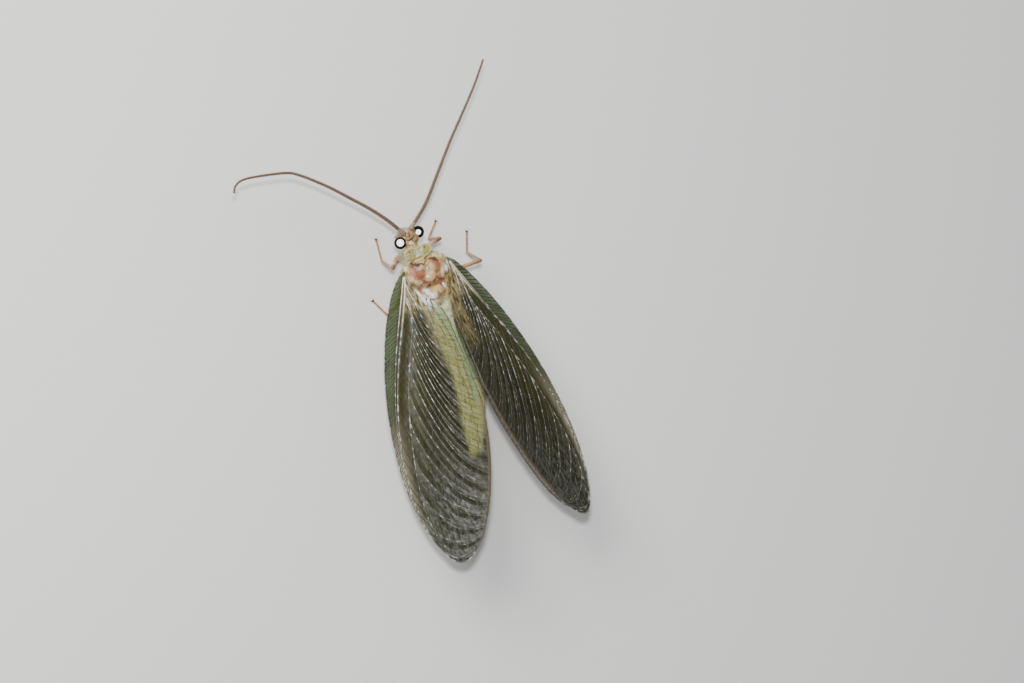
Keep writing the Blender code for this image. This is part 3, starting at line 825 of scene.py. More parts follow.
def membraneFinish(name, alpha, clear):
    # smoky film: green in the outer field, folded and ochre at the root, clearer over the abdomen
    # and painted there with the abdomen's colours, with a painted sheen near the tip and a painted
    # highlight at the left root
    finish = Finish(name, IOR=1.45, Specular_IOR_Level=0.22)
    mark, fade, mix, grain = finish.mark, finish.fade, finish.mix, finish.grain
    row, along, window, inward = mark("row"), mark("along"), mark("window"), mark("inward")
    clouds, fine = grain(0.9, 5.0), grain(9.0, 3.0)
    streaks = grain(2.6, 4.0, stretch=(2.2, 0.5, 1.0))
    costal = (1 - fade(row, 0.12, 0.16)) * (1 - fade(along, 0.35, 0.6))
    band = (1 - fade(row + fine * 0.06, 0.2, 0.34)) * fade(along, 0.42, 0.7)
    edge = fade(row, 0.97, 1.0)
    # painted sheen: pale grey streaks over the outer part of the wing, which is also a little
    # smoother there
    tip = fade(along, 0.58, 0.88) * fade(streaks, 0.42, 0.62)
    root = (1 - fade(along, 0.1, 0.17)) * fade(row, 0.16, 0.22)
    fold = fade(row, 0.55, 0.75) * (1 - fade(along, 0.2, 0.36))
    base = root * 0.95 + fold * (1 - root) * (0.7 - window * 0.6)
    front = window * fade(along, 0.54, 0.42)
    line = fade(inward, 0.5, 0.57) - fade(inward, 0.66, 0.74)
    smoky = mix(clouds * 0.6 + (1 - fade(row, 0.3, 0.55)) * 0.35,
                (0.006, 0.0055, 0.0015), (0.056, 0.053, 0.012))
    # over the window the film is painted with the abdomen's yellow-green, and at its front by the
    # inner margin with the abdomen's mint side: painted light from the abdomen seen through
    colour = finish.layers(
        smoky,
        (window * 0.85, mix(fine, (0.26, 0.27, 0.075), (0.42, 0.41, 0.13))),
        (fade(inward, 0.66, 0.54) * front * 0.8, (0.15, 0.33, 0.15)),
        (line * front * 0.8, (0.02, 0.018, 0.008)),
        (costal * 0.9, (0.046, 0.082, 0.012)),
        (tip * 0.5, (0.13, 0.14, 0.125)),
        (band * 0.75, (0.38, 0.34, 0.24)),
        (edge * 0.6, (0.25, 0.18, 0.1)))
    leftSide = fade(finish.axis("X"), stand.x / mm - 0.1, stand.x / mm + 0.2)
    # painted highlight: near-white streaks at the inner root, on the left wings only
    shine = fade(row, 0.66, 0.8) * fade(along, 0.2, 0.13) * leftSide
    ochre = mix(fade(streaks, 0.36, 0.58), (0.06, 0.042, 0.012), (0.4, 0.32, 0.13))
    ochre = finish.layers(
        ochre, (fade(streaks, 0.6, 0.68) * 0.7, (0.74, 0.68, 0.52)),
        (shine * fade(streaks, 0.4, 0.5), (0.9, 0.88, 0.85)))
    finish.set("Base Color", mix(base, colour, ochre))
    see = (alpha + (clouds - 0.5) * 0.12 + band * 0.15 + edge * 0.15) * (1 - window * clear)
    see = see * (1 - costal * 0.2)
    finish.set("Alpha", see * (1 - base) + base * (0.66 + fade(streaks, 0.36, 0.62) * 0.28))
    finish.set("Roughness", 0.3 + fine * 0.12 + costal * 0.3 - tip * 0.08)
    panes = fade(finish.cells(2.1), 0.0, 0.7)
    uneven = (grain(3.2, 3.0) * 0.6 + panes * 0.6 + fine * 0.3) * (1 - costal)
    finish.bump(uneven + base * streaks * 2.0, 0.5, 0.05)
    return finish.material


def veinFinish(name, dark, light):
    # dark veins with painted silvery glints, pale where the wing grows from the thorax
    finish = Finish(name, IOR=1.5, Coat_Roughness=0.12)
    bold, start = finish.mark("bold"), stand.y / mm
    root = finish.fade(finish.axis("Y"), start + 5.5, start + 1.5)
    stem = root * finish.fade(finish.mark("stem") + root * 0.5, 0.4, 1.0)
    # painted glints: short pale grey-blue dashes in the colour of the bold veins, which are also
    # glossier there
    glints = finish.fade(finish.grain(2.6, 2.0, 0.5), 0.53, 0.6) * bold
    brown = finish.mix(finish.grain(5.0, 3.0) * 0.5 + bold * 0.5 - 0.1, dark, light)
    pale = finish.mix(finish.grain(2.0, 3.0), (0.4, 0.31, 0.16), (0.86, 0.82, 0.72))
    finish.set("Base Color", finish.layers(brown, (glints * 0.9, (0.54, 0.6, 0.62)), (stem, pale)))
    finish.set("Roughness", 0.34 - glints * 0.18)
    finish.set("Coat Weight", 0.15 + glints * 0.75)
    finish.bump(finish.grain(14.0, 2.0), 0.4, 0.02)
    return finish.material


def plainFinish(name, dark, light, scale=2.5, **constants):
    # two shades clouded into one another, for hairs, claws and cross-veins
    finish = Finish(name, **constants)
    finish.set("Base Color", finish.mix(finish.grain(scale), dark, light))
    return finish.material


def hairFinish(name, dark, light):
    return plainFinish(name, dark, light, Roughness=0.5)


def makeWings():
    films = {"fore": membraneFinish("forewingMembrane", 0.84, 0.66),
             "hind": membraneFinish("hindwingMembrane", 0.16, 0.8)}
    long = {"fore": veinFinish("forewingVeins", (0.02, 0.016, 0.007), (0.125, 0.115, 0.085)),
            "hind": veinFinish("hindwingVeins", (0.04, 0.03, 0.018), (0.09, 0.07, 0.045))}
    short = plainFinish("crossVeins", (0.006, 0.004, 0.002), (0.022, 0.015, 0.007), 4.0,
                        Roughness=0.35, IOR=1.5)
    hair = hairFinish("wingHairs", (0.16, 0.11, 0.06), (0.34, 0.26, 0.16))
    for side, label in ((1, "left"), (-1, "right")):
        for kind in ("fore", "hind"):
            wing = Wing(label, side, kind)
            membrane(wing, films[kind])
            main = veins(wing, long[kind])
            crossVeins(wing, short, main)
            fringe(wing, hair)


# Body skin

body = {"voxel": 0.045, "smoothing": 4, "segments": 9,
        "line": [(-0.32, 3.45, 3.42), (-0.78, 6.4, 3.2), (-1.04, 9.8, 2.95), (-0.8, 12.6, 2.55),
                 (-0.35, 14.8, 2.1), (0.25, 16.75, 1.62)],
        "hips": [(0.6, -1.05, 1.42), (-0.28, -1.05, 1.42), (0.65, 1.0, 1.15), (-0.65, 1.0, 1.15),
                 (0.45, 2.7, 1.08), (-0.6, 2.7, 1.08)],
        "necks": {"head": -1.7, "collar": -0.6, "abdomen": 3.25},
        "settled": {"turns": 14, "front": (-0.75, -0.55), "rear": (4.6, 5.2), "height": (3.3, 3.8)}}
# The collar's two round lobes: middle x and half width of each, and what both have
plate = {"lobes": ((0.86, 0.8), (-0.36, 0.74)), "middle": -1.14, "halfLength": 0.54,
         "melt": 5.0, "rimAt": 0.86, "rimWidth": 0.1, "rimHeight": 0.075, "hollow": 0.045}
# Small pits of the collar: places and how far each reaches
pits = [((0.97, -1.34), 0.085), ((-0.47, -1.36), 0.08), ((1.02, -1.02), 0.04),
        ((-0.4, -1.16), 0.04)]
# Grooves seen from above, as x and y points, with depth, half width and how dark each shows
topGrooves = [
    ([(1.1, -0.42), (0.8, -0.2), (0.42, -0.12), (0.18, 0.06), (-0.02, -0.22), (-0.3, -0.42),
      (-0.62, -0.62)], 0.12, 0.07, 1.0),
    ([(0.82, 0.9), (0.66, 1.28), (0.34, 1.56), (-0.02, 1.66), (-0.38, 1.48), (-0.62, 1.14),
      (-0.72, 0.84)], 0.08, 0.05, 0.5),
    ([(0.15, 0.1), (0.08, 0.55), (0.02, 1.0)], 0.035, 0.05, 0.12),
    ([(1.22, -0.1), (1.12, 0.4), (1.02, 0.9), (0.92, 1.3)], 0.05, 0.05, 0.25),
    ([(-1.16, -0.2), (-1.12, 0.4), (-1.06, 0.9), (-0.98, 1.3)], 0.05, 0.05, 0.25),
    ([(1.15, 1.78), (0.6, 1.92), (0.0, 1.98), (-0.6, 1.9), (-1.1, 1.74)], 0.12, 0.07, 0.7),
    ([(0.3, 2.1), (0.1, 2.5), (-0.1, 3.0)], 0.05, 0.05, 0.3),
    ([(0.72, 2.86), (0.3, 3.1), (-0.08, 3.16), (-0.5, 3.06), (-0.88, 2.8)], 0.08, 0.06, 0.5),
    ([(1.26, -0.74), (0.7, -0.66), (0.18, -0.64), (-0.4, -0.74), (-0.9, -0.82)],
     0.06, 0.05, 0.35),
    ([(0.66, -2.27), (0.44, -2.3), (0.22, -2.36), (0.02, -2.42)], 0.15, 0.06, 1.0),
    ([(0.4, -2.22), (0.38, -1.95), (0.36, -1.72)], 0.05, 0.05, 0.25),
]
# Grooves seen from the side, as y and z points
sideGrooves = [
    ([(0.2, 4.1), (0.55, 3.2), (0.8, 2.3), (0.9, 1.7)], 0.08, 0.06, 0.5),
    ([(-0.2, 3.3), (0.4, 2.75), (1.2, 2.6)], 0.05, 0.05, 0.3),
    ([(2.1, 3.8), (2.4, 3.0), (2.62, 2.2), (2.7, 1.7)], 0.07, 0.06, 0.5),
    ([(1.64, 4.2), (1.66, 3.2), (1.62, 2.2), (1.55, 1.6)], 0.1, 0.06, 0.6),
    ([(-0.62, 4.0), (-0.6, 3.0), (-0.58, 2.0)], 0.1, 0.06, 0.5),
    ([(-1.2, 3.8), (-1.1, 3.0), (-1.0, 2.1)], 0.05, 0.05, 0.3),
]
# Coloured patches of the thorax, head and collar, among them painted highlights: places and how far
# each reaches
patches = {
    "salmon": [((1.34, 0.42, 4.55), 0.34), ((1.16, 0.8, 4.62), 0.32), ((1.16, 0.08, 4.6), 0.4),
               ((1.0, 0.52, 4.8), 0.42), ((0.72, 0.95, 4.8), 0.36),
               ((0.56, 0.5, 4.85), 0.22), ((-0.84, 0.02, 4.8), 0.36), ((-0.92, 0.42, 4.8), 0.36),
               ((-0.74, 0.78, 4.8), 0.28), ((0.45, 1.58, 4.5), 0.28), ((-0.36, 1.56, 4.5), 0.3),
               ((0.98, 2.3, 4.2), 0.28), ((-0.8, 1.4, 4.6), 0.26), ((-1.3, 1.8, 4.2), 0.3)],
    "dusk": [((1.02, -0.27, 4.5), 0.32), ((0.82, -0.1, 4.7), 0.28),
             ((-0.64, -0.38, 4.6), 0.3), ((-0.84, -0.2, 4.7), 0.3), ((-1.0, 0.04, 4.7), 0.2),
             ((-1.0, 1.72, 4.35), 0.24), ((-0.96, 2.02, 4.3), 0.2), ((-0.98, 2.34, 4.3), 0.15),
             ((-1.02, 2.7, 4.2), 0.14), ((0.16, 1.84, 4.4), 0.18), ((1.2, 2.05, 4.1), 0.2),
             ((0.95, 2.62, 4.2), 0.16)],
    "ivory": [((1.42, -0.42, 4.25), 0.42), ((-1.27, -0.47, 4.35), 0.34), ((1.75, 0.15, 4.5), 0.5),
              ((-1.75, 0.1, 4.5), 0.5), ((1.5, 0.95, 4.5), 0.4), ((-1.45, 0.9, 4.5), 0.4),
              ((1.55, 2.2, 3.9), 0.5), ((-1.65, 2.2, 3.9), 0.5), ((-0.1, 0.62, 4.7), 0.36),
              ((-0.3, 2.75, 4.4), 0.4)],
    "silver": [((0.48, -2.02, 4.2), 0.15), ((0.32, -1.94, 4.2), 0.12), ((0.62, 2.02, 4.2), 0.22),
               ((0.44, 2.35, 4.3), 0.3), ((0.24, 2.75, 4.4), 0.34), ((0.02, 3.1, 4.3), 0.26),
               ((0.26, 0.96, 4.88), 0.09), ((0.2, 1.08, 4.88), 0.08),
               ((0.04, 0.36, 4.72), 0.07), ((0.07, 0.48, 4.74), 0.07),
               ((-1.12, 2.1, 4.3), 0.13), ((-1.14, 2.34, 4.3), 0.15),
               ((-1.7, 0.85, 4.6), 0.17), ((-1.66, 1.1, 4.6), 0.15), ((-1.62, 1.35, 4.5), 0.13)],
    "lilac": [((0.74, 0.1, 4.87), 0.22), ((0.6, 2.02, 4.3), 0.22)],
    "orange": [((-0.52, 1.96, 4.3), 0.22), ((-0.4, 2.2, 4.3), 0.18)],
    "paleCentre": [((0.3, -1.08, 4.45), 0.36), ((0.12, -0.92, 4.45), 0.26)],
    "glass": [((0.62, -3.32, 3.75), 0.34), ((0.4, -3.36, 3.6), 0.3)],
}


def headPoint(forward, left, up):
    return headHome + Vector((forward * sin(headYaw) + left * cos(headYaw),
                              left * sin(headYaw) - forward * cos(headYaw), up))


def chain(points, radii):
    # limbs from each point to the next
    return [limb(start, end, radii) for start, end in zip(points, points[1:])]


def headForms():
    turned = Matrix.Rotation(headYaw, 3, "Z")

    def part(forward, left, up, half, squareness=0.85, tilt=0.0):
        turn = turned @ Matrix.Rotation(tilt, 3, "X")
        return lump(headPoint(forward, left, up), half, squareness, turn)
    forms = [part(0.08, 0, -0.2, (0.72, 0.7, 0.74)),
             part(0.58, 0, -0.52, (0.4, 0.34, 0.54), 0.8, radians(12)),
             part(0.74, 0, -0.3, (0.26, 0.22, 0.26), 1.0),
             part(0.66, 0, -1.04, (0.3, 0.2, 0.3), 0.8, radians(18)),
             part(0.32, 0, -1.12, (0.27, 0.2, 0.32)),
             part(0.24, 0, 0.34, (0.44, 0.26, 0.24), 0.9, radians(-8)),
             part(0.62, 0, 0.16, (0.16, 0.18, 0.24), 1.0)]
    for side in (1, -1):
        jaw = [headPoint(0.48, side * 0.26, -1.0), headPoint(0.66, side * 0.06, -1.5)]
        palp = [headPoint(0.3, side * 0.24, -1.05), headPoint(0.3, side * 0.34, -1.3),
                headPoint(0.36, side * 0.38, -1.56), headPoint(0.46, side * 0.36, -1.84)]
        innerPalp = [headPoint(0.28, side * 0.12, -1.3), headPoint(0.36, side * 0.22, -1.52),
                     headPoint(0.48, side * 0.24, -1.74)]
        socket = [headPoint(0.46, side * 0.38, 0.08), headPoint(0.58, side * 0.46, 0.28)]
        forms += [part(0.3, side * 0.46, -0.35, (0.27, 0.42, 0.44)),
                  part(-0.3, side * 0.28, 0.26, (0.34, 0.36, 0.28), 0.95),
                  part(0.0, side * 0.7, -0.02, (0.14, 0.49, 0.47), 1.0),
                  *chain(socket, (0.24, 0.27, 0.25)), *chain(jaw, (0.19, 0.16, 0.06)),
                  *chain(palp, (0.09, 0.105, 0.075)), *chain(innerPalp, (0.075, 0.085, 0.06)),
                  part(0.2, side * 0.17, 0.56, (0.085, 0.085, 0.075), 1.0)]
    return forms + [part(0.44, 0, 0.47, (0.075, 0.075, 0.07), 1.0),
                    lump((0.27, -1.72, 3.55), (0.52, 0.55, 0.58))]


# Paired lumps of the thorax: x midway between the two, how far each stands from it, y and z,
# half sizes and squareness; the last three are the folds at the wing bases
thoraxPairs = [
    (0.2, 0.72, -1.14, 4.3, (0.58, 0.5, 0.25), 0.95),
    (0.06, 0.85, -0.66, 4.0, (0.5, 0.32, 0.34), 0.95),
    (0.0, 0.72, 0.4, 4.4, (0.72, 0.78, 0.48), 0.88),
    (0.0, 1.08, 0.72, 4.4, (0.48, 0.9, 0.3), 0.6),
    (0.06, 1.36, -0.44, 4.14, (0.34, 0.32, 0.28), 1.0),
    (0.0, 1.72, 0.02, 4.45, (0.36, 0.46, 0.15), 0.95),
    (0.0, 1.6, 0.8, 4.46, (0.36, 0.66, 0.13), 0.95),
    (-0.08, 0.6, 2.4, 4.0, (0.62, 0.52, 0.42), 0.88),
    (0.0, 1.0, 2.55, 3.82, (0.46, 0.62, 0.25), 0.6),
    (0.0, 1.18, 0.3, 3.0, (0.38, 0.46, 0.95), 0.8),
    (0.0, 1.16, 1.1, 2.9, (0.4, 0.42, 0.9), 0.8),
    (0.0, 1.02, 2.5, 2.7, (0.36, 0.44, 0.8), 0.8),
    (0.0, 1.62, 1.75, 4.12, (0.66, 1.35, 0.13), 0.9),
    (0.0, 1.4, 3.3, 3.86, (0.56, 1.15, 0.12), 0.9),
    (0.0, 1.2, 4.2, 3.7, (0.44, 0.8, 0.12), 0.9),
]


def thoraxForms():
    forms = [lump((0.1, -1.12, 4.16), (1.18, 0.5, 0.27), 0.8, rings=30, sides=44),
             lump((0.18, -1.12, 3.1), (0.74, 0.5, 1.15), 0.7),
             lump((0.12, -0.5, 3.3), (1.0, 0.5, 1.1)),
             lump((0.18, -0.1, 4.58), (0.7, 0.3, 0.26), 0.85),
             lump((0, 0.64, 3.2), (1.5, 1.06, 1.5), 0.64, rings=28, sides=40),
             lump((-0.02, 1.18, 4.6), (0.58, 0.46, 0.3), 0.9),
             lump((0.0, 1.65, 3.3), (1.22, 0.5, 1.15)),
             lump((-0.08, 2.55, 3.0), (1.32, 0.66, 1.38), 0.64, rings=24, sides=36),
             lump((-0.1, 2.7, 4.22), (0.5, 0.42, 0.26), 0.9),
             lump((-0.2, 3.25, 3.2), (0.95, 0.55, 0.95))]
    for side in (1, -1):
        forms += [lump((middle + side * aside, y, z), half, squareness)
                  for middle, aside, y, z, half, squareness in thoraxPairs]
    return forms + [limb((x * 0.9, y, z + 1.1), (x, y, z + 0.12), (0.5, 0.46, 0.34))
                    for x, y, z in body["hips"]]


def abdomenForm():
    rings = body["segments"] * 16
    line = smoothRoute(body["line"], rings)

    def crease(away):
        return 0.05 * exp(-(away / 0.16) ** 2)

    def section(t, angle):
        number = round(t * rings)
        ahead = line[min(number + 1, rings)] - line[max(number - 1, 0)]
        sideWay = ahead.cross(Vector((0, 0, 1))).normalized()
        upWay = sideWay.cross(ahead).normalized()
        full = (0.92 + 0.36 * sin(pi * min(1.0, t / 0.9) ** 0.8)) * abs(sin(pi * t)) ** 0.28
        phase = (t * body["segments"]) % 1.0
        full *= 1 - 0.075 * exp(-(phase / 0.1) ** 2) + 0.02 * phase
        full *= 1 - crease(angle - 2 * pi + 0.15) - crease(angle - pi - 0.15)
        return (line[number] + sideWay * full * signedPower(cos(angle), 0.9)
                + upWay * full * 0.84 * signedPower(sin(angle), 0.9))
    forms = [ball(section, rings, 64)]
    back = (line[-1] - line[-20]).normalized()
    sideWay = back.cross(Vector((0, 0, 1))).normalized()
    for side in (1, -1):
        root = line[-1] - back * 0.75 + sideWay * side * 0.3 + Vector((0, 0, 0.12))
        forms.append(limb(root, root + back * 0.95, (0.32, 0.36, 0.24)))
    return forms


def awayFromLine(places, points):
    # how far each place lies, seen flat, from a run of points
    nearest = np.full(len(places), 9.0)
    for start, end in zip(points, points[1:]):
        start, end = np.array(start), np.array(end)
        run = end - start
        t = np.clip((places - start) @ run / run.dot(run), 0, 1)
        nearest = np.minimum(nearest, np.linalg.norm(places - start - t[:, None] * run, axis=1))
    return nearest


def soften(places, faces, weight, turns):
    # melts the marked part of a skin
    pairs = np.array([(face[k], face[k - 1]) for face in faces for k in range(len(face))])
    ends = np.concatenate([pairs[:, 0], pairs[:, 1]])
    others = np.concatenate([pairs[:, 1], pairs[:, 0]])
    count = np.bincount(ends, minlength=len(places))[:, None]
    for _ in range(turns):
        middle = np.stack([np.bincount(ends, places[others, axis], len(places))
                           for axis in range(3)], axis=1) / count
        places = places + (middle - places) * weight[:, None] * 0.7
    return places


def stepUp(values, start, end):
    t = np.clip((values - start) / (end - start), 0, 1)
    return t * t * (3 - 2 * t)


def bell(values, width):
    return np.exp(-(values / width) ** 2)


def carve(places, normals):
    # sutures, the collar's rim and its pits
    sunk, shade = np.zeros((2, len(places)))
    facingUp = stepUp(normals[:, 2], 0.05, 0.45) * (places[:, 2] > 3.6)
    facingSide = stepUp(np.abs(normals[:, 0]), 0.3, 0.6)
    for grooves, seen, facing in ((topGrooves, places[:, :2], facingUp),
                                  (sideGrooves, places[:, 1:], facingSide)):
        for points, depth, width, dark in grooves:
            weight = bell(awayFromLine(seen, points), width) * facing
            sunk += weight * depth
            shade = np.maximum(shade, weight * dark)
    lobes = [np.hypot((places[:, 0] - x) / halfWidth,
                      (places[:, 1] - plate["middle"]) / plate["halfLength"])
             for x, halfWidth in plate["lobes"]]
    melt = plate["melt"]
    outward = -np.log(np.exp(-melt * lobes[0]) + np.exp(-melt * lobes[1])) / melt
    top = facingUp * (places[:, 1] > -1.75) * (places[:, 1] < -0.55)
    rim = bell(outward - plate["rimAt"], plate["rimWidth"]) * top
    hollow = (1 - stepUp(outward, 0.55, 0.8)) * top
    sunk += -plate["rimHeight"] * rim + plate["hollow"] * hollow
    for (x, y), reach in pits:
        away = (places[:, 0] - x) ** 2 + (places[:, 1] - y) ** 2
        weight = np.exp(-away / reach ** 2) * top
        sunk += 0.05 * weight
        shade = np.maximum(shade, np.minimum(1.0, weight * 1.5))
    return sunk, shade, rim


def bodySkin(finish):
    places, normals, faces = fuseForms(headForms() + thoraxForms() + abdomenForm(),
                                       body["voxel"], body["smoothing"])
    settled = body["settled"]
    back = (stepUp(places[:, 1], *settled["front"]) * (1 - stepUp(places[:, 1], *settled["rear"]))
            * stepUp(places[:, 2], *settled["height"]))
    places = soften(places, faces, back, settled["turns"])
    sunk, shade, rim = carve(places, normals)
    places = places - normals * sunk[:, None]
    x, y, z = places.T
    knots = np.array(body["line"])
    t = np.interp(y, knots[:, 1], np.linspace(0, 1, len(knots)))
    aside = x - np.interp(y, knots[:, 1], knots[:, 0])
    neck, waist, hip = (body["necks"][name] for name in ("head", "collar", "abdomen"))
    fold = (stepUp(np.abs(x), 1.22, 1.45) * stepUp(y, 0.9, 1.4) * (y < hip)
            + stepUp(np.abs(aside), 0.8, 0.95) * (y >= hip) * (y < 5.2)) * (z > 3.5)
    marks = {"suture": shade, "rim": rim, "fold": fold, "sideways": aside, "upward": normals[:, 2],
             "headZone": stepUp(-y - 0.06 * x, -neck - 0.04, -neck + 0.04),
             "collarZone": (stepUp(y, neck - 0.04, neck + 0.04)
                            * (1 - stepUp(y, waist - 0.05, waist + 0.02))),
             "bellyZone": stepUp(y, hip - 0.05, hip + 0.1), "ring": (t * body["segments"]) % 1.0}
    for name, spots in patches.items():
        marks[name] = np.zeros(len(places))
        for spot, reach in spots:
            away = np.linalg.norm(places - np.array(spot), axis=1)
            marks[name] = np.maximum(marks[name], np.exp(-(away / reach) ** 2 * 0.8))
    shape = Shape()
    shape.add(places, faces, **marks)
    makePiece("body_skin", shape, finish, "thorax_cuticle",
              "head", "prothorax", "mesothorax", "metathorax", "abdomen")
    return places, normals, faces


class Skin(Finish):
    # the body's finish: four zones that share one set of grains
    def __init__(self):
        super().__init__("bodySkin", Roughness=0.4, IOR=1.5, Coat_Roughness=0.1)
        self.fine, self.coarse = self.grain(7.0, 4.0), self.grain(2.4, 3.0)
        self.streaks = self.grain(3.2, 4.0, 0.6, (1.0, 0.45, 1.0))
        self.upward = self.mark("upward")
        # painted shade: how much a surface faces downward, which darkens the thorax, collar and head
        # there
        self.under = self.fade(self.upward, 0.45, -0.2)
        self.folded = self.mix(self.fade(self.streaks, 0.4, 0.6),
                               (0.1, 0.07, 0.02), (0.46, 0.37, 0.15))

    def patch(self, name, low=0.3, high=0.62, ragged=0.55):
        return self.fade(self.mark(name) + (self.streaks - 0.5) * ragged, low, high)

    def thorax(self):
        fade, mix, fine, streaks = self.fade, self.mix, self.fine, self.streaks
        cream = mix(fade(streaks, 0.35, 0.65), (0.34, 0.23, 0.09), (0.78, 0.66, 0.4))
        salmon = mix(fine, (0.24, 0.055, 0.022), (0.46, 0.15, 0.068))
        # painted shade colour for the thorax's downward-facing surfaces
        below = mix(self.coarse, (0.2, 0.11, 0.045), (0.5, 0.36, 0.18))
        return self.layers(
            mix(self.coarse, (0.42, 0.23, 0.082), (0.76, 0.55, 0.26)),
            (fade(fine, 0.6, 0.72) * 0.5, (0.3, 0.12, 0.06)),
            (self.patch("ivory"), cream),
            (self.patch("salmon", 0.14, 0.8) * 0.9, salmon),
            (self.patch("orange"), (0.8, 0.42, 0.1)),
            # painted soft highlights in pale pink
            (self.patch("lilac", 0.15, 0.8, 0.7) * 0.85, (0.74, 0.58, 0.56)),
            (self.patch("dusk", 0.15, 0.95) * 0.95, (0.06, 0.016, 0.018)),
            # painted highlights: near-white spots, also glossier
            (self.patch("silver", 0.3, 0.66, 0.95), (0.92, 0.9, 0.87)),
            (self.mark("fold") * 0.9, self.folded),
            (self.under * 0.75, below))

    def collar(self):
        return self.layers(
            self.mix(self.streaks, (0.2, 0.185, 0.045), (0.54, 0.48, 0.18)),
            (self.patch("paleCentre", 0.2, 0.8, 0.8) * 0.75, (0.5, 0.56, 0.42)),
            (self.mark("rim") * 0.9, (0.68, 0.58, 0.2)),
            (self.fade(self.fine, 0.58, 0.72) * 0.45, (0.2, 0.2, 0.07)),
            # painted shade on the collar's downward-facing surfaces
            (self.under * 0.7, (0.34, 0.24, 0.1)))

    def head(self):
        middle = stand.x / mm
        brownSide = self.fade(self.axis("X"), middle + 0.25, middle - 0.1)
        brown = self.mix(self.fine, (0.15, 0.07, 0.022), (0.34, 0.19, 0.075))
        crown = self.mix(self.fade(self.coarse, 0.36, 0.6), (0.11, 0.048, 0.013), (0.44, 0.28, 0.1))
        return self.layers(
            crown,
            (self.fade(self.streaks, 0.52, 0.68) * 0.6, (0.58, 0.44, 0.2)),
            (brownSide * 0.65, brown),
            # painted highlights on the head
            (self.patch("silver"), (0.95, 0.93, 0.9)),
            (self.patch("glass"), (0.3, 0.36, 0.26)),
            # painted shade on the head's downward-facing surfaces
            (self.under * 0.6, (0.24, 0.12, 0.04)))

    def belly(self):
        fade, mix, streaks, ring = self.fade, self.mix, self.streaks, self.mark("ring")
        along, start = self.axis("Y"), stand.y / mm
        groove = fade(ring, 0.1, 0.02) + fade(ring, 0.94, 1.0)
        right = fade(self.mark("sideways"), 0.12, -0.18) * fade(self.upward, -0.1, 0.4)
        front = fade(along, start + 12.0, start + 9.0)
        paleFront = mix(fade(streaks, 0.36, 0.62), (0.26, 0.27, 0.12), (0.74, 0.76, 0.58))
        mint = mix(fade(along, start + 7.0, start + 4.5),
                   mix(streaks, (0.16, 0.38, 0.18), (0.44, 0.62, 0.36)), paleFront)
        return self.layers(
            mix(self.grain(1.3, 3.0), (0.56, 0.56, 0.17), (0.82, 0.77, 0.32)),
            (fade(ring, 0.45, 0.92) * 0.4, (0.78, 0.72, 0.36)),
            (fade(self.fine, 0.58, 0.72) * 0.3, (0.24, 0.24, 0.07)),
            (right * front * 0.85, mint),
            (self.mark("fold") * 0.9, self.folded),
            (fade(self.upward, 0.0, -0.6) * 0.7, (0.62, 0.58, 0.34)),
            (groove * 0.28, (0.22, 0.2, 0.07)))


def skinFinish():
    skin = Skin()
    # the painted highlight spots are also smoother and more coated
    soft, silver = skin.mark("bellyZone"), skin.patch("silver")
    skin.set("Base Color", skin.layers(
        skin.thorax(), (skin.mark("collarZone"), skin.collar()),
        (skin.mark("headZone"), skin.head()), (soft, skin.belly()),
        (skin.mark("suture") * 0.92, (0.035, 0.014, 0.008))))
    skin.set("Roughness", 0.34 + soft * 0.14 + skin.fine * 0.14 - silver * 0.16)
    skin.set("Coat Weight", 0.28 - soft * 0.15 + silver * 0.6)
    pores = skin.fade(skin.cells(9.0), 0.0, 0.35)
    skin.bump(skin.coarse * 0.7 + skin.streaks * 0.7 + skin.fine * 0.4 + pores * 0.25, 0.75, 0.06)
    return skin.material


# the painted catch-light on each eye: its radius, and its shift right and up from the point facing
# the camera
eyes = {"radius": 0.52, "halfSpan": 0.95, "glint": {"left": 0.3, "right": 0.21},
        "glintShift": {"left": (0.03, 0.0), "right": (0.05, -0.04)}}


def makeEyes():
    right, up, back = viewDirections()
    for side, label in ((1, "left"), (-1, "right")):
        centre = headPoint(0, side * eyes["halfSpan"], 0)

        def section(t, angle):
            way = Vector((sin(pi * t) * cos(angle), sin(pi * t) * sin(angle), cos(pi * t)))
            return centre + way * eyes["radius"]
        shape = Shape()
        shape.add(*ball(section, 64, 96))
        # the painted catch-light is centred on the point of the eye that faces the camera
        across, upward = eyes["glintShift"][label]
        glint = centre + back * eyes["radius"] + right * across + up * upward
        finish = eyeFinish(glint, eyes["glint"][label])
        makePiece("eye_" + label + "_ball", shape, finish, "eyes", "eye_" + label)


def eyeFinish(glint, reach):
    # black ball with a painted round catch-light: white colour and a glow fixed on the side towards
    # the camera
    finish = Finish("eye", IOR=1.3, Specular_IOR_Level=0.2, Emission_Strength=1.0)
    away = finish.node("ShaderNodeVectorMath", {"operation": "DISTANCE"},
                       {0: finish.place(), 1: tuple(inRow(glint) / mm)}, "Value")
    light = finish.fade(away, reach + 0.035, reach - 0.015)
    facets = finish.cells(24.0)
    black = finish.mix(facets, (0.002, 0.002, 0.003), (0.008, 0.006, 0.005))
    # painted highlight: near-white colour and a glow inside the catch-light, black elsewhere
    finish.set("Base Color", finish.mix(light, black, (0.95, 0.9, 0.93)))
    finish.set("Emission Color", finish.mix(light, (0.0, 0.0, 0.0), (1.5, 1.4, 1.45)))
    finish.set("Roughness", 0.35 + facets * 0.1)
    finish.bump(facets, 0.1, 0.01)
    return finish.material


# Feelers

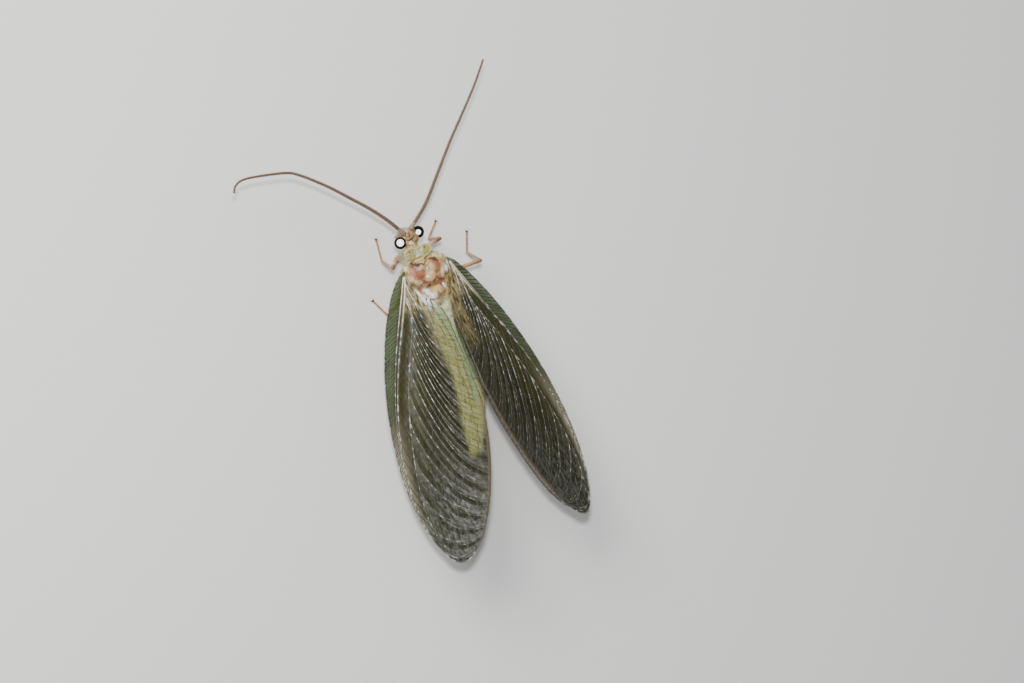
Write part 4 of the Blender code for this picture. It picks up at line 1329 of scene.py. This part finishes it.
feelers = {"segments": 80, "baseRadius": 0.17, "tipRadius": 0.088, "firstRadius": 0.19,
           "secondRadius": 0.165, "swell": (0.74, 1.02, 1.14, 1.04), "sides": 14,
           "hairLength": 0.2, "hairRadius": 0.0105,
           "routes": {
               "left": [(0.8, -2.94, 3.98), (0.88, -3.05, 4.15), (2.0, -4.5, 4.45),
                        (3.3, -5.9, 4.7), (4.75, -7.25, 4.9), (6.1, -8.5, 5.05),
                        (7.2, -9.4, 5.15), (8.35, -10.25, 5.25), (9.4, -10.8, 5.3),
                        (11.7, -11.25, 5.4), (13.3, -11.4, 5.45), (14.1, -11.1, 5.45),
                        (14.4, -10.6, 5.45)],
               "right": [(0.02, -3.13, 3.98), (-0.06, -3.26, 4.15), (-1.75, -4.72, 4.5),
                         (-3.6, -6.9, 4.85), (-5.5, -9.1, 5.1), (-7.1, -10.8, 5.3),
                         (-9.0, -12.8, 5.4), (-10.6, -14.7, 5.45)]}}


def feelerRadius(number, each, count):
    # the first joint takes three segments' length, the second one, and rings follow to the tip
    segment, phase = divmod(number, each)
    if segment < 3:
        return feelers["firstRadius"] * (0.82 if number in (0, 3 * each - 1) else 1.0)
    if segment < 4:
        return feelers["secondRadius"] * (0.7 if phase == 0 else 1.0)
    base, tip = feelers["baseRadius"], feelers["tipRadius"]
    return (base + (tip - base) * (number / count) ** 0.9) * feelers["swell"][phase]


def feeler(label, finish, hair):
    each, sides = len(feelers["swell"]), feelers["sides"]
    count = feelers["segments"] * each
    line = evenRoute(feelers["routes"][label], count)
    radii = [feelerRadius(number, each, count) for number in range(count + 1)]
    radii[-1] *= 0.5
    numbers = np.repeat(np.arange(count + 1), sides)
    shape = Shape()
    shape.add(*tube(line, np.array(radii), sides),
              joint=(numbers < 4 * each) * 1.0, groove=(numbers % each == 0) * 1.0)
    makePiece("antenna_" + label + "_rings", shape, finish, "antennae", "antenna_" + label)
    coat = Shape()
    ahead = unit(np.gradient(line, axis=0))
    for number in range(each, count, 2):
        t = number / count
        around = 7 if number > each * 4 else 9
        across = unit(np.cross(ahead[number], (0.1, 0.2, 0.97)))
        other = np.cross(ahead[number], across)
        for k in range(around):
            turn = (k + chance.random()) * 2 * pi / around
            outward = across * cos(turn) + other * sin(turn)
            root = line[number] + outward * radii[number] * 0.9
            length = feelers["hairLength"] * chance.uniform(0.7, 1.2) * (1 - 0.35 * t)
            patch = (0.05 + t * 0.9, turn / (2 * pi) * 0.9 + 0.02)
            bristle(coat, root, ahead[number] * 0.9 + outward * 0.75, length,
                    feelers["hairRadius"], patch, 0.0)
    makePiece("antenna_" + label + "_hairs", coat, hair, "antennae")


def feelerFinish():
    finish = Finish("feelers", Roughness=0.5, IOR=1.5, Coat_Weight=0.15)
    brown = finish.mix(finish.grain(3.5), (0.085, 0.045, 0.022), (0.24, 0.145, 0.085))
    pale = finish.mix(finish.grain(5.0), (0.2, 0.1, 0.05), (0.62, 0.44, 0.3))
    finish.set("Base Color", finish.layers(
        brown, (finish.mark("joint") * 0.85, pale),
        (finish.mark("groove") * 0.8, (0.03, 0.015, 0.008))))
    finish.bump(finish.grain(16.0, 2.0), 0.5, 0.02)
    return finish.material


# Legs

# Each leg's joints run from the hip over the thigh's root, the knee and the heel to the toes' tip
legs = {"hip": (0.3, 0.34, 0.24), "thigh": (0.17, 0.2, 0.2, 0.17, 0.15),
        "thighRoot": (0.2, 0.22, 0.19), "shin": (0.125, 0.115, 0.1, 0.105), "foot": 0.095,
        "footCuts": (0.0, 0.34, 0.52, 0.67, 0.8, 1.0), "voxel": 0.032, "kneeReach": 0.9,
        "hairRadius": 0.0095,
        "joints": {
            "leg_fore_left": [(0.6, -1.05, 1.42), (0.98, -0.85, 1.12), (2.46, -0.5, 3.45),
                              (1.85, -1.2, 0.14), (1.7, -3.0, 0.1)],
            "leg_fore_right": [(-0.28, -1.05, 1.42), (-0.72, -0.95, 1.12), (-2.5, -1.56, 3.55),
                               (-2.9, -1.7, 0.14), (-4.0, -2.85, 0.1)],
            "leg_mid_left": [(0.65, 1.0, 1.15), (1.05, 1.4, 0.9), (3.0, 2.7, 2.75),
                             (2.9, 3.3, 0.14), (3.7, 1.8, 0.1)],
            "leg_mid_right": [(-0.65, 1.0, 1.15), (-1.1, 1.5, 0.95), (-5.2, 1.32, 4.0),
                              (-5.9, 0.5, 0.14), (-6.5, -1.1, 0.1)],
            "leg_hind_left": [(0.45, 2.7, 1.08), (0.8, 3.3, 0.88), (2.35, 6.3, 2.75),
                              (2.5, 10.9, 0.14), (2.8, 12.7, 0.1)],
            "leg_hind_right": [(-0.6, 2.7, 1.08), (-0.95, 3.3, 0.88), (-3.2, 6.1, 2.75),
                               (-3.2, 10.7, 0.14), (-3.5, 12.5, 0.1)]}}
# Claws: places ahead of the tip of the toes, aside and up
clawRoute = [(0.02, 0.04, 0.0), (0.14, 0.1, 0.05), (0.26, 0.15, 0.01), (0.3, 0.16, -0.07)]


def leg(name, finish, claws, coat, lane):
    hip, root, knee, heel, tip = [Vector(p) for p in legs["joints"][name]]
    foot = legs["foot"]
    toward = tip - heel
    forms = [limb(hip, root, legs["hip"]), limb(root, knee, legs["thigh"]),
             limb(knee, heel, legs["shin"]),
             limb(root + (root - hip) * 0.1, root + (knee - root) * 0.12, legs["thighRoot"])]
    for near, far in zip(legs["footCuts"], legs["footCuts"][1:]):
        start, end = heel + toward * (near + 0.03), heel + toward * (far - 0.03)
        forms.append(limb(start, end, (foot * 0.72, foot * 0.95, foot * 1.02)))
    forms.append(limb(heel + toward * 0.02, tip - toward * 0.02, (foot * 0.62, foot * 0.62)))
    places, _, faces = fuseForms(forms, legs["voxel"], 2)
    places[:, 2] = np.maximum(places[:, 2], 0.0)
    kneeAway = [np.linalg.norm(p - np.array(knee)) / legs["kneeReach"] for p in places]
    thigh = knee - root
    along = (places - np.array(root)) @ np.array(thigh) / thigh.length_squared
    aside = np.linalg.norm(places - np.array(root) - along[:, None] * np.array(thigh), axis=1)
    pale = stepUp(along, 0.15, 0.45) * (1 - stepUp(along, 0.72, 0.95)) * (aside < 0.4)
    shape = Shape()
    shape.add(places, faces, knee=[max(0.0, 1 - away) for away in kneeAway],
              pale=pale * ("fore" in name))
    makePiece(name + "_limb", shape, finish, "legs", name)
    toward.normalize()
    across = toward.cross(Vector((0, 0, 1))).normalized()
    for side in (1, -1):
        curve = [tip + toward * ahead + across * side * out + Vector((0, 0, rise))
                 for ahead, out, rise in clawRoute]
        places = [tuple(p) for p in smoothRoute(curve, 8)]
        claws.add(*tube(places, np.linspace(0.042, 0.008, 9), 8))
    padHome = tip + toward * 0.1 - Vector((0, 0, 0.03))
    pad, faces = lump(padHome, (0.09, 0.1, 0.055), 1.0, rings=8, sides=10)
    claws.add([tuple(corner) for corner in pad], faces)
    sections = ((root, knee, 0.185, 90, 0.2), (knee, heel, 0.11, 120, 0.19),
                (heel, tip, 0.095, 60, 0.13))
    for part, (start, end, radius, count, length) in enumerate(sections):
        axis = (end - start).normalized()
        sideWay = axis.cross(Vector((0.1, 0.2, 0.97))).normalized()
        other = axis.cross(sideWay)
        for _ in range(count):
            t = chance.uniform(0.03, 0.97)
            turn = chance.random() * 2 * pi
            outward = sideWay * cos(turn) + other * sin(turn)
            spot = start.lerp(end, t) + outward * radius * 0.8
            if spot.z < 0.12:
                continue
            patch = (lane + 0.002 + t * 0.15, part * 0.33 + turn / (2 * pi) * 0.3)
            bristle(coat, spot, axis * 1.0 + outward * 0.9, length * chance.uniform(0.6, 1.2),
                    legs["hairRadius"], patch, 0.1)


def makeLegs():
    finish = legFinish()
    claws, coat = Shape(), Shape()
    for number, name in enumerate(legs["joints"]):
        leg(name, finish, claws, coat, number * 0.163)
    horn = plainFinish("claws", (0.05, 0.022, 0.01), (0.14, 0.06, 0.025), 8.0,
                       Roughness=0.25, IOR=1.5)
    makePiece("claws", claws, horn, "legs")
    hair = hairFinish("legHairs", (0.22, 0.12, 0.05), (0.55, 0.42, 0.25))
    makePiece("leg_hairs", coat, hair, "legs")


def legFinish():
    finish = Finish("legs", Roughness=0.35, IOR=1.5, Coat_Weight=0.3)
    mottle = finish.grain(3.0, 4.0)
    pale = finish.mix(mottle, (0.42, 0.28, 0.2), (0.78, 0.66, 0.58))
    finish.set("Base Color", finish.layers(
        finish.mix(mottle, (0.27, 0.115, 0.03), (0.52, 0.27, 0.095)),
        (finish.mark("pale") * 0.8, pale),
        (finish.mark("knee") * 0.85, (0.17, 0.03, 0.012))))
    finish.bump(finish.grain(10.0, 3.0), 0.5, 0.03)
    return finish.material


# Hairs of the body

coats = {"belly": {"count": 2600, "length": 0.3, "radius": 0.0085, "lift": 0.45,
                   "slot": "abdomen_skin"},
         "chest": {"count": 1500, "length": 0.26, "radius": 0.0085, "lift": 0.8,
                   "slot": "thorax_cuticle"},
         "collar": {"count": 700, "length": 0.3, "radius": 0.0085, "lift": 0.9,
                    "slot": "pronotum_cuticle"},
         "head": {"count": 420, "length": 0.15, "radius": 0.0075, "lift": 0.8,
                  "slot": "head_cuticle"}}


def besideEye(place):
    return any((Vector(place) - headPoint(0, side * eyes["halfSpan"], 0)).length < 0.6
               for side in (1, -1))


def bodyHairs(places, normals, faces):
    quads = np.array([face if len(face) == 4 else face + (face[-1],) for face in faces])
    a, b, c = places[quads[:, 0]], places[quads[:, 1]], places[quads[:, 2]]
    area = np.linalg.norm(np.cross(b - a, c - a), axis=1)
    centre = places[quads].mean(axis=1)
    facing = unit(normals[quads].mean(axis=1))
    neck, waist, hip = (body["necks"][name] for name in ("head", "collar", "abdomen"))
    y = centre[:, 1]
    zones = {"belly": y > hip + 0.1, "chest": (y > waist) & (y < hip),
             "collar": (y > neck) & (y < waist), "head": y < neck}
    dark = hairFinish("darkHairs", (0.06, 0.04, 0.02), (0.14, 0.1, 0.05))
    pale = hairFinish("paleHairs", (0.5, 0.44, 0.3), (0.72, 0.66, 0.5))
    for zone, inside in zones.items():
        coat = coats[zone]
        weight = area * inside
        if zone in ("chest", "collar"):
            weight = weight * (0.35 + 1.2 * (np.abs(facing[:, 0]) > 0.5))
        shape = Shape()
        for pick in dice.choice(len(weight), coat["count"], p=weight / weight.sum()):
            mix = dice.dirichlet((1, 1, 1, 1))
            root = (places[quads[pick]] * mix[:, None]).sum(axis=0)
            normal = facing[pick]
            if zone == "head" and besideEye(root):
                continue
            lie = np.array((0.0, 1.0, -0.1)) + dice.normal(0, 0.25, 3)
            lie = unit(lie - normal * lie.dot(normal))
            around = atan2(root[2] - 3.0, root[0]) / (2 * pi) + 0.5
            length = coat["length"] * dice.uniform(0.6, 1.25)
            bristle(shape, root, lie + normal * coat["lift"], length, coat["radius"],
                    (around * 0.98, (root[1] + 5) / 23), 0.08)
        makePiece(zone + "_hairs", shape, dark if zone == "belly" else pale, coat["slot"])


def makeBody():
    places, normals, faces = bodySkin(skinFinish())
    makeEyes()
    bodyHairs(places, normals, faces)
    rings, hair = feelerFinish(), hairFinish("feelerHairs", (0.2, 0.12, 0.07), (0.42, 0.3, 0.2))
    for label in ("left", "right"):
        feeler(label, rings, hair)
    makeLegs()


makeWings()
print("wings")
makeBody()
print("body, feelers and legs")
